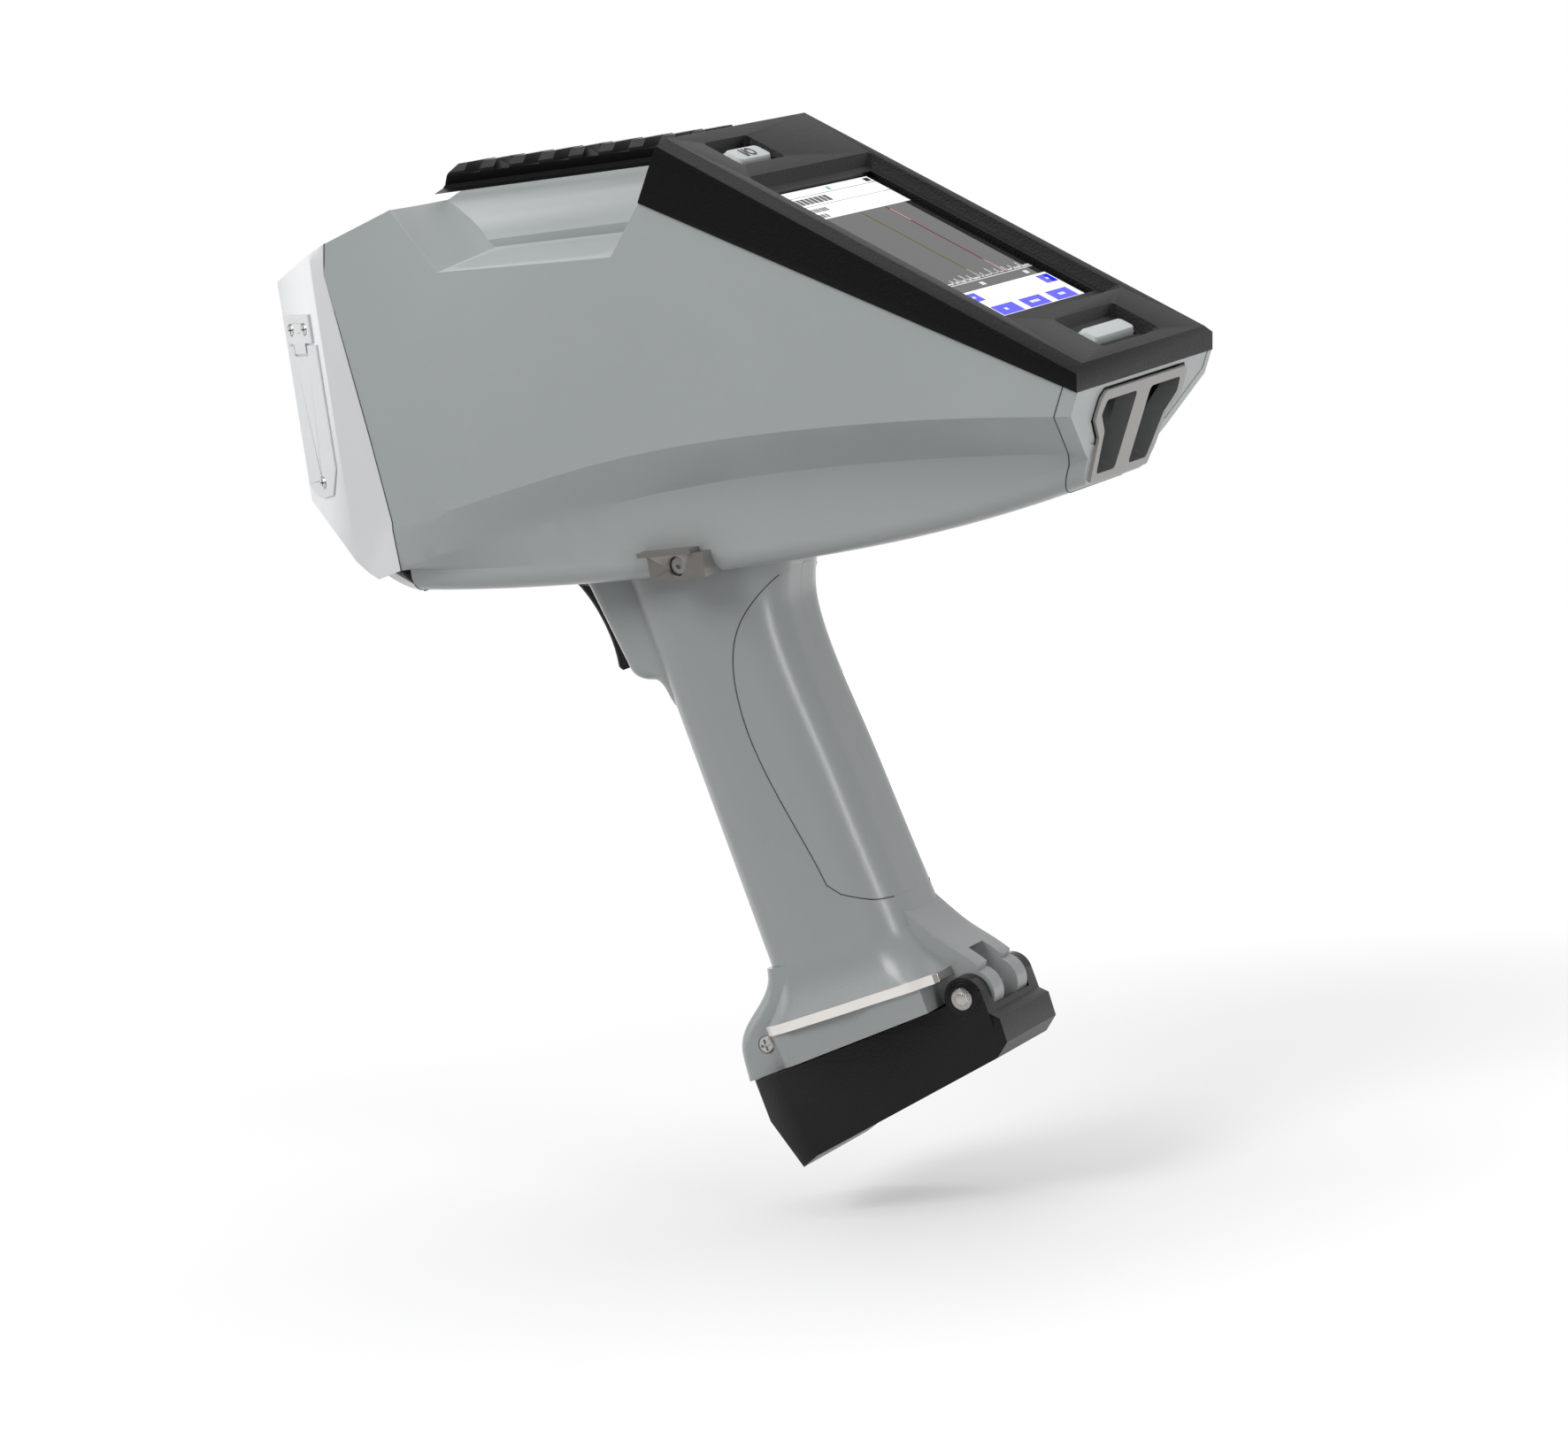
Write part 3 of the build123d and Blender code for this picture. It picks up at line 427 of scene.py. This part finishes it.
PEAKS = [                                            # place, height, width
    (-21, 1.4, 0.5), (-17.5, 2.4, 0.3), (-13, 3.0, 0.35), (-9.5, 1.8, 0.3), (MARKER_GREEN, 4.4, 0.3),
    (-1.5, 2.0, 0.3), (4.0, 3.2, 0.4), (8.0, 2.2, 0.3), (MARKER_RED, 9.5, 0.22), (13.0, 2.6, 0.3),
    (17.0, 1.8, 0.4), (22.5, 2.4, 0.3),
]
WHITE, GREY, BLACK = colour(255, 255, 255), colour(96, 96, 100), colour(0, 0, 0)
# GRAPH_REFLECTION_GREY is the graph field's glow: a painted reflection of the cover glass over a field that
# is black
GRAPH_REFLECTION_GREY, INK = colour(46, 46, 46), colour(24, 24, 28)
KEY_BLUE, STATUS_TEAL = colour(0, 0, 255), colour(0, 150, 140)
LINE_GREEN, LINE_RED, PEAK_PINK = colour(120, 130, 30), colour(150, 30, 40), colour(235, 190, 195)


def lit_bar(bm, u, y, lift, length, width, turn=None):
    """A thin lit bar round one place of the display; turn is its direction if it isn't level."""
    place = Matrix.Translation(Vector((-u, y, LCD_LIFT + lift)) * MM)
    size = Matrix.Diagonal((length * MM, width * MM, PATCH * MM, 1.0))
    bmesh.ops.create_cube(bm, size=1.0, matrix=BEZEL @ place @ (turn or Matrix()) @ size)


def display_piece(name, bm, tone):
    add_piece(name, mesh_of(bm, name), "housing", lit(name + "_light", tone))


def display_layer(name, patches, tone, level=0):
    """One tone of the display's picture, level steps above the glass; a patch is (u0, u1, y0, y1)."""
    bm = bmesh.new()
    for u0, u1, y0, y1 in patches:
        lit_bar(bm, (u0 + u1) / 2, (y0 + y1) / 2, level * LAYER, abs(u1 - u0), abs(y1 - y0))
    display_piece(name, bm, tone)


def display_line(name, points, width, tone, level=2):
    """A thin lit line through points given as (u, y)."""
    bm = bmesh.new()
    for (u0, y0), (u1, y1) in zip(points, points[1:]):
        along = Vector((u0 - u1, y1 - y0, 0.0))
        turn = Vector((1, 0, 0)).rotation_difference(along).to_matrix().to_4x4()
        lit_bar(bm, (u0 + u1) / 2, (y0 + y1) / 2, level * LAYER, along.length + width, width, turn)
    display_piece(name, bm, tone)


def bars(u0, u1, y, widths, gap):
    """A row of short bars that stands for a line of writing."""
    row = []
    for width in widths:
        row.append((u0, u1, y, y + width))
        y += width + gap
    return row


def counts(y):
    """Height of the measured curve over the base line at a place across the display."""
    ripple = sum(height * sin(y * pace + shift) for height, pace, shift in RIPPLES)
    peaks = sum(height * exp(-((y - place) / width) ** 2) for place, height, width in PEAKS)
    return CURVE_REST + ripple + peaks


def make_fields():
    """The graph field, which glows grey as a painted reflection of the cover glass except in a black band
    along the far edge, and the white fields above and below it.
    """
    edge = LCD_HALF
    # the grey glow of the graph field is a painted reflection of the cover glass; the black band beyond it is
    # the field's own colour
    display_layer("display_graph_reflection", [(FOOT, HEAD, -edge, BAND)], GRAPH_REFLECTION_GREY)
    display_layer("display_band", [(FOOT, HEAD, BAND, edge)], BLACK)
    display_layer("display_fields", [(HEAD, LCD_HIGH, -edge, edge), (LCD_LOW, FOOT, -edge, edge)], WHITE)


def make_title():
    """Status line, title line and two lines of values, with bars for writing."""
    edge = LCD_HALF
    rules = [(STATUS, STATUS + 0.25, -edge, edge), (TITLE, TITLE + 0.2, -edge, edge)]
    display_layer("display_rules", rules, GREY, 1)
    marks = bars(TITLE + 1.2, STATUS - 0.9, TEXT_FROM, (2.4, 2.0, 2.2, 2.0, 2.2, 2.4, 2.0, 2.4), 0.55)
    marks += bars(TITLE - 3.2, TITLE - 1.3, TEXT_FROM, (1.0, 1.0, 0.4, 1.0, 1.0, 0.4, 1.0, 1.0, 1.0), 0.45)
    marks += bars(TITLE - 6.2, TITLE - 4.3, TEXT_FROM, (1.2, 1.0, 1.2, 0.4, 1.0), 0.45)
    marks += [(STATUS + 0.9, STATUS + 2.7, 24.2, 27.4)]
    display_layer("display_marks", marks, INK, 1)
    display_layer("display_status", [(STATUS + 0.9, STATUS + 2.5, 0.6, 2.2)], STATUS_TEAL, 1)


def make_keys():
    """Three wide keys in the lowest row, a narrow one at each end above them, and their captions."""
    wide, narrow = 13.6, 7.4
    keys = [(LCD_LOW + 1.0, LCD_LOW + 5.8, y, y + wide) for y in (-24.4, -6.6, 11.2)]
    keys += [(FOOT - 5.2, FOOT - 1.0, y, y + narrow) for y in (-27.7, 20.3)]
    display_layer("display_keys", keys, KEY_BLUE, 1)
    low, high = LCD_LOW + 2.9, LCD_LOW + 4.0
    captions = bars(low, high, -19.4, (0.7, 0.7), 0.35)
    captions += bars(low, high, -2.6, (0.6, 0.7, 0.3, 0.6, 0.6, 0.3, 0.6), 0.3)
    captions += bars(low, high, 16.2, (0.7, 0.6, 0.7, 0.6), 0.35)
    for y in (-24.6, 23.4):
        captions += bars(FOOT - 3.5, FOOT - 2.6, y, (0.6, 0.6), 0.3)
    display_layer("display_captions", captions, WHITE, 2)


def make_curve():
    """The measured curve on its axis, with two marker lines."""
    end = LCD_HALF - CURVE_MARGIN
    places = [-end + n * 2 * end / CURVE_STEPS for n in range(CURVE_STEPS + 1)]
    display_line("display_trace", [(BASE + counts(y), y) for y in places], CURVE_WIDE, WHITE)
    axis = [(BASE - 0.1, BASE + 0.1, -LCD_HALF + 0.6, LCD_HALF - 0.6)]
    for y in (-9.6, 19.0):
        axis += bars(FOOT + 1.2, FOOT + 2.8, y, (0.8, 0.8), 0.5)
    display_layer("display_axis", axis, WHITE, 2)
    top = HEAD - 0.3
    display_line("display_line_green", [(BASE, MARKER_GREEN), (top, MARKER_GREEN)], MARKER_WIDE, LINE_GREEN)
    display_line("display_line_red", [(BASE, MARKER_RED), (top, MARKER_RED)], MARKER_WIDE, LINE_RED)
    peak = [(HEAD - 9.0, MARKER_RED), (HEAD - 2.0, MARKER_RED)]
    display_line("display_peaks", peak, PEAK_WIDE, PEAK_PINK, 3)


# ---- lettering on the power key -------------------------------------------------------------
MARK_SIZE, MARK_THICK, MARK_BOLD = 5.4, 0.04, 0.06
MARK_AT = (-124.9, -16.0, -0.3)                      # up the slope, across and above the bezel, in mm


def make_power_mark():
    """I/O on the power key: generic, as a thin raised print."""
    curve = bpy.data.curves.new("power_mark", "FONT")
    curve.body = "I/O"
    curve.size = MARK_SIZE * MM
    curve.extrude = MARK_THICK * MM
    curve.offset = MARK_BOLD * MM
    curve.align_x = "CENTER"
    curve.align_y = "CENTER"
    text = add_to_scene("power_mark_text", curve)
    bpy.context.view_layer.update()
    mesh = bpy.data.meshes.new_from_object(text.evaluated_get(bpy.context.evaluated_depsgraph_get()))
    bpy.data.objects.remove(text)
    place = BEZEL @ Matrix.Translation(Vector(MARK_AT) * MM) @ Matrix.Rotation(radians(90), 4, "Z")
    add_piece("power_mark", mesh, "power_button", print_black, place)


# ---- rear face, nose heel and collar strips, in mm ------------------------------------------
VENT_HALF = [(27.6, -1.2), (29.9, -3.7), (29.9, -10.8), (23.2, -16.9), (20.2, -31.0)]
REAR_LIP, REAR_THICK, REAR_BRIM = -0.15, 2.0, 0.3   # face below the cap's rim, thickness, top edge
REAR_GROOVE = 0.4                                    # between the plate and the cap's rim
REAR_FACING = 0.99                                   # least cosine between the rim's face and the way out


def on_rear(y, v, n):
    """Place on the rear face: across, up its slope, and out of it."""
    return REAR_TOP + (Vector((0, y, 0)) + REAR_UP * v + REAR_OUT * n) * MM


def height_on_rear(point):
    return (point - REAR_TOP).dot(REAR_UP) / MM


def depth_on_rear(point):
    return (point - REAR_TOP).dot(REAR_OUT) / MM


def make_rear_face():
    """Plate that closes the rear cap round the vent frame, a narrow groove away from it."""
    rim = frame["nodes"]["rear_cap"].data
    level_faces = [f for f in rim.polygons
                   if f.normal.dot(REAR_OUT) > REAR_FACING and abs(depth_on_rear(f.center)) < NEAR]
    points = [rim.vertices[i].co for f in level_faces for i in f.vertices]
    half = []
    for v in sorted({round(height_on_rear(p), 1) for p in points}):
        if v < -REAR_GROOVE:
            widest = max(p.y for p in points if abs(height_on_rear(p) - v) < 2 * NEAR)
            half.append((widest / MM - REAR_GROOVE, v))
    half.append((half[-1][0], REAR_BRIM))
    bm = bmesh.new()
    edges = []
    for loop in (half, VENT_HALF):
        ring = [bm.verts.new(on_rear(y, v, REAR_LIP)) for y, v in loop]
        ring += [bm.verts.new(on_rear(-y, v, REAR_LIP)) for y, v in reversed(loop)]
        edges += [bm.edges.new(pair) for pair in zip(ring, ring[1:] + ring[:1])]
    bmesh.ops.triangle_fill(bm, edges=edges, use_beauty=True)
    made = bmesh.ops.extrude_face_region(bm, geom=list(bm.faces))
    moved = [v for v in made["geom"] if isinstance(v, bmesh.types.BMVert)]
    bmesh.ops.translate(bm, verts=moved, vec=REAR_OUT * (-REAR_THICK * MM))
    add_piece("rear_face", mesh_of(bm, "rear_face"), "housing", body_paint)


# Corners of the heel on one side, mirrored to the other: x, y, z.
NOSE_HEEL = [(22.6, 29, -55.1), (28.5, 29, -54.6), (28.2, 29, -61.0), (24.4, 29, -58.6),
             (20.5, 18, -53.0), (30.0, 18, -54.0), (32.0, 18, -60.6), (24.0, 18, -57.6)]


def make_nose_heel():
    """Metal at the lower end of the nose's seam, up to 3 mm proud of the nose's lower facet."""
    bm = bmesh.new()
    for x, y, z in NOSE_HEEL:
        for side in (-1, 1):
            bm.verts.new(Vector((x, side * y, z)) * MM)
    bmesh.ops.convex_hull(bm, input=list(bm.verts))
    add_piece("nose_heel", mesh_of(bm, "nose_heel"), "housing", nose_metal)


STRIP_FROM, STRIP_TO, STRIP_STEPS = -26.0, 33.0, 30    # along the handle's foot
STRIP_LOW, STRIP_HIGH = -135.1, -132.3               # from the handle's top
STRIP_PROUD, STRIP_THICK = 0.25, 1.2
OUTSIDE = 60.0                                       # a place across that lies clear of the handle


def make_collar_strips():
    """Steel strip along each side of the collar, just proud of it, its brightness partly a painted
    reflection.
    """
    walls = []
    for node in ("handle_collar", "base_plate"):
        mesh = frame["nodes"][node].data
        walls.append(BVHTree.FromPolygons([v.co for v in mesh.vertices], [f.vertices for f in mesh.polygons]))
    across = (HANDLE.to_3x3() @ Vector((0, 1, 0))).normalized()
    section = [(0, STRIP_HIGH), (0, STRIP_LOW), (STRIP_THICK, STRIP_LOW), (STRIP_THICK, STRIP_HIGH)]
    for side, name in SIDES:
        bm = bmesh.new()
        rows = []
        for n in range(STRIP_STEPS + 1):
            t = STRIP_FROM + (STRIP_TO - STRIP_FROM) * n / STRIP_STEPS
            reach = []
            for h in (STRIP_LOW, (STRIP_LOW + STRIP_HIGH) / 2, STRIP_HIGH):
                start = HANDLE @ (Vector((t, side * OUTSIDE, h)) * MM)
                for wall in walls:
                    hit = wall.ray_cast(start, across * -side)[0]
                    if hit:
                        reach.append(abs(hit.y) / MM)
            y = max(reach) + STRIP_PROUD
            rows.append([bm.verts.new(HANDLE @ (Vector((t, side * (y - back), h)) * MM))
                         for back, h in section])
        for a, b in zip(rows, rows[1:]):
            for i in range(4):
                bm.faces.new((a[i], a[(i + 1) % 4], b[(i + 1) % 4], b[i]))
        bm.faces.new(rows[0])
        bm.faces.new(rows[-1])
        # the strip's near-white finish is partly a painted reflection
        add_piece("collar_strip_" + name, mesh_of(bm, "collar_strip_" + name, smooth=40), "housing",
                  strip_steel_painted_reflection)


# ---- rings on the door's hinge, in mm -----------------------------------------------------
EAR_FACE, PIN_FACE = 17.0, 18.2                      # outer faces of the door's ears and of the pin heads
EAR_RINGS = [(5.3, 0.25), (4.5, 0.55)]               # radius, and how far each stands proud of the ear
PIN_SOCKET = (2.0, 0.25)                             # the same for the six-sided mark on the pin's head
RING_ROOT, SOCKET_ROOT = 0.6, 0.5                    # how far they reach in
RING_RIM, SOCKET_RIM = 0.2, 0.15                     # radius of their rounded rims


def disc(bm, radius, y0, y1, edge, sides=48):
    """A round plate on the hinge axis between two places across, with rounded rims."""
    place = Matrix.Translation(Vector((HINGE_T, (y0 + y1) / 2 * MM, HINGE_H)))
    turn = Matrix.Rotation(radians(90), 4, "X")
    made = bmesh.ops.create_cone(bm, cap_ends=True, segments=sides, radius1=radius * MM,
                                 radius2=radius * MM, depth=abs(y1 - y0) * MM,
                                 matrix=HANDLE @ place @ turn)
    rims = [e for e in bm.edges if e.verts[0] in made["verts"] and len(e.link_faces) == 2
            and any(len(f.verts) > 4 for f in e.link_faces)]
    bmesh.ops.bevel(bm, geom=rims, offset=edge * MM, offset_type="OFFSET", segments=3, profile=0.5,
                    affect="EDGES", material=-1)


def make_hinge_rings():
    """Two stepped rings on each ear of the door, and a six-sided mark on each head of its pin."""
    for side, name in SIDES:
        bm = bmesh.new()
        for radius, proud in EAR_RINGS:
            disc(bm, radius, side * (EAR_FACE - RING_ROOT), side * (EAR_FACE + proud), RING_RIM)
        add_piece("ear_rings_" + name, mesh_of(bm, "ear_rings_" + name, smooth=30), "battery_door",
                  door_rubber)
        bm = bmesh.new()
        radius, proud = PIN_SOCKET
        disc(bm, radius, side * (PIN_FACE - SOCKET_ROOT), side * (PIN_FACE + proud), SOCKET_RIM, sides=6)
        add_piece("pin_head_" + name, mesh_of(bm, "pin_head_" + name, smooth=30), NODE_BODY["hinge_pin"],
                  screw_steel)


# ---- parting lines ------------------------------------------------------------------------
SEAM_WIDTH, SEAM_TURN = 0.26, 35                     # mm, and the least turn of an edge in degrees
SEAM_CLEAR = 12                                      # mm off the middle plane where the seams begin


def seam_lines(node, keep):
    """Thin dark lines along those sharp edges of a node that a test keeps."""
    bm = bmesh.new()
    bm.from_mesh(frame["nodes"][node].data)
    bmesh.ops.remove_doubles(bm, verts=bm.verts, dist=MERGE)
    bm.normal_update()
    ends = [(e.verts[0].co.copy(), e.verts[1].co.copy()) for e in bm.edges
            if len(e.link_faces) == 2 and e.calc_face_angle() > radians(SEAM_TURN) and keep(e)]
    bm.free()
    lines = bmesh.new()
    for p, q in ends:
        along = q - p
        if along.length < MERGE:
            continue
        turn = Vector((1, 0, 0)).rotation_difference(along).to_matrix().to_4x4()
        size = Matrix.Diagonal((along.length + SEAM_WIDTH * 0.5 * MM, SEAM_WIDTH * MM, SEAM_WIDTH * MM, 1))
        bmesh.ops.create_cube(lines, size=1.0, matrix=Matrix.Translation((p + q) / 2) @ turn @ size)
    name = node + "_seam"
    add_piece(name, mesh_of(lines, name), NODE_BODY[node], seam_grey)


def make_seams():
    """Dark lines where the caps and the grip pads meet the shells."""
    def outside(e):
        return max(abs(v.co.y) for v in e.verts) > SEAM_CLEAR * MM

    def on_cap_front(e):
        return max(abs(depth_on_rear(v.co) + CAP_DEPTH) for v in e.verts) < NEAR and outside(e)

    def on_nose_rear(e):
        return any(f.normal.x > 0.7 for f in e.link_faces) and outside(e)

    seam_lines("rear_cap", on_cap_front)
    seam_lines("nose_cap", on_nose_rear)
    for node in ("grip_pad_left", "grip_pad_right"):
        seam_lines(node, outside)


# ---- setting ----------------------------------------------------------------------------
FLOOR_GAP, FLOOR_HALF = 16 * MM, 1.1                 # metres below the instrument, and half its width
FLOOR_X = 0.1
GLOW_REACH, GLOW = (0.3, 0.9), (0.32, 0.9)           # metres from the frame's origin, and the light added
MIRROR_REACH, FAR_MIRROR = (-0.1, 0.4), 0.9          # metres across, and its far side's light in reflections


def make_floor():
    """Large pale floor under the instrument, seen as white where no shadow falls."""
    low = CAD_BOX[0].z - FLOOR_GAP
    bm = bmesh.new()
    bmesh.ops.create_grid(bm, x_segments=1, y_segments=1, size=FLOOR_HALF)
    mesh = bpy.data.meshes.new("floor")
    bm.to_mesh(mesh)
    bm.free()
    mesh.transform(Matrix.Translation((FLOOR_X, 0, low)))
    f = Finish("floor_white")
    f.set(Base_Color=colour(196, 196, 196), Roughness=0.9, Specular_IOR_Level=0.0)
    path = f.node("ShaderNodeLightPath")
    distance = f.node("ShaderNodeVectorMath")
    distance.operation = "LENGTH"
    f.link(f.coords, distance.inputs[0])
    glow = map_range(f.tree, distance.outputs["Value"], GLOW_REACH, GLOW, smooth=True)
    seen = f.math("MULTIPLY", path.outputs["Is Camera Ray"], glow)
    axes = f.node("ShaderNodeSeparateXYZ")
    f.link(f.coords, axes.inputs[0])
    far = map_range(f.tree, axes.outputs["Y"], MIRROR_REACH, (0, FAR_MIRROR))
    level = f.math("MULTIPLY_ADD", path.outputs["Is Glossy Ray"], far, seen)
    emission = f.node("ShaderNodeEmission")
    f.link(level, emission.inputs["Strength"])
    add = f.node("ShaderNodeAddShader")
    f.link(f.shader.outputs[0], add.inputs[0])
    f.link(emission.outputs[0], add.inputs[1])
    f.link(add.outputs[0], f.tree.nodes["Material Output"].inputs["Surface"])
    mesh.materials.append(f.material)
    floor = add_to_scene("floor", mesh)


AMBIENT_TURN, AMBIENT = (-0.7, 0.7), (0.08, 0.55)    # even light, from below to above
MIRROR_TURN, MIRROR = (-0.7, 0.4), (0.08, 0.8)       # what glossy surfaces see, from the near to the far side


def make_world():
    """Pale surroundings: white to the camera, darker below, and dark on the near side in reflections."""
    world = bpy.data.worlds.new("studio")
    bpy.context.scene.world = world
    world.use_nodes = True
    tree = world.node_tree
    sky = tree.nodes["Background"]
    sky.inputs["Color"].default_value = (1, 1, 1, 1)
    path = tree.nodes.new("ShaderNodeLightPath")
    coords = tree.nodes.new("ShaderNodeTexCoord")
    axes = tree.nodes.new("ShaderNodeSeparateXYZ")
    tree.links.new(coords.outputs["Generated"], axes.inputs[0])

    def choose(switch, off, on):
        node = tree.nodes.new("ShaderNodeMix")
        tree.links.new(switch, node.inputs["Factor"])
        tree.links.new(off, node.inputs["A"])
        if isinstance(on, float):
            node.inputs["B"].default_value = on
        else:
            tree.links.new(on, node.inputs["B"])
        return node.outputs["Result"]

    even = map_range(tree, axes.outputs["Z"], AMBIENT_TURN, AMBIENT, smooth=True)
    mirrored = map_range(tree, axes.outputs["Y"], MIRROR_TURN, MIRROR, smooth=True)
    level = choose(path.outputs["Is Glossy Ray"], even, mirrored)
    level = choose(path.outputs["Is Camera Ray"], level, 1.0)
    tree.links.new(level, sky.inputs["Strength"])


LAMP_AIM = (0.12, 0, -0.05)
LAMPS = [                                            # name, place and side in metres, power in watts
    ("key", (-0.4, -1.05, 0.95), (0.7, 0.7), 12.0),
    ("top", (0.1, 0.1, 1.3), (1.0, 1.0), 8.0),
    ("nose_fill", (-1.1, -0.2, 0.1), (0.5, 0.5), 1.2),
    ("strip", (1.2, -0.6, -0.05), (0.2, 1.0), 6.0),
    ("far_fill", (-0.7, 1.1, 0.4), (0.8, 0.8), 3.0),
]


def make_lights():
    """Soft lamps, each turned to the middle of the instrument."""
    for name, place, size, power in LAMPS:
        lamp = bpy.data.lights.new(name, "AREA")
        lamp.shape = "RECTANGLE"
        lamp.size, lamp.size_y = size
        lamp.energy = power
        obj = add_to_scene(name, lamp)
        obj.location = place
        obj.rotation_euler = (Vector(LAMP_AIM) - Vector(place)).to_track_quat("-Z", "Y").to_euler()


# The camera's place, and the directions to its right, up and back.
CAMERA_AT = Vector((860.8, -1330.5, 89.9)) * MM
CAMERA_RIGHT = Vector((0.8756, 0.4603, -0.1462))
CAMERA_UP = Vector((0.0665, 0.1849, 0.9805))
CAMERA_BACK = Vector((0.4784, -0.8683, 0.1313))
FOCAL_PIXELS, IMAGE_WIDTH = 5978.0, 1772.0           # focal length and picture width, in pixels
SENSOR = 36.0                                        # mm


def make_camera():
    lens = bpy.data.cameras.new("camera")
    lens.sensor_width = SENSOR
    lens.sensor_fit = "HORIZONTAL"
    lens.lens = SENSOR * FOCAL_PIXELS / IMAGE_WIDTH
    lens.clip_start, lens.clip_end = 0.05, 50
    camera = add_to_scene("camera", lens)
    turn = Matrix((CAMERA_RIGHT, CAMERA_UP, CAMERA_BACK)).transposed().to_4x4()
    camera.matrix_world = Matrix.Translation(CAMERA_AT) @ turn
    bpy.context.scene.camera = camera


dress_nodes()
make_fields()
make_title()
make_keys()
make_curve()
make_power_mark()
make_rear_face()
make_nose_heel()
make_collar_strips()
make_hinge_rings()
make_seams()
make_floor()
make_world()
make_lights()
make_camera()
bpy.context.scene.view_settings.view_transform = "Standard"
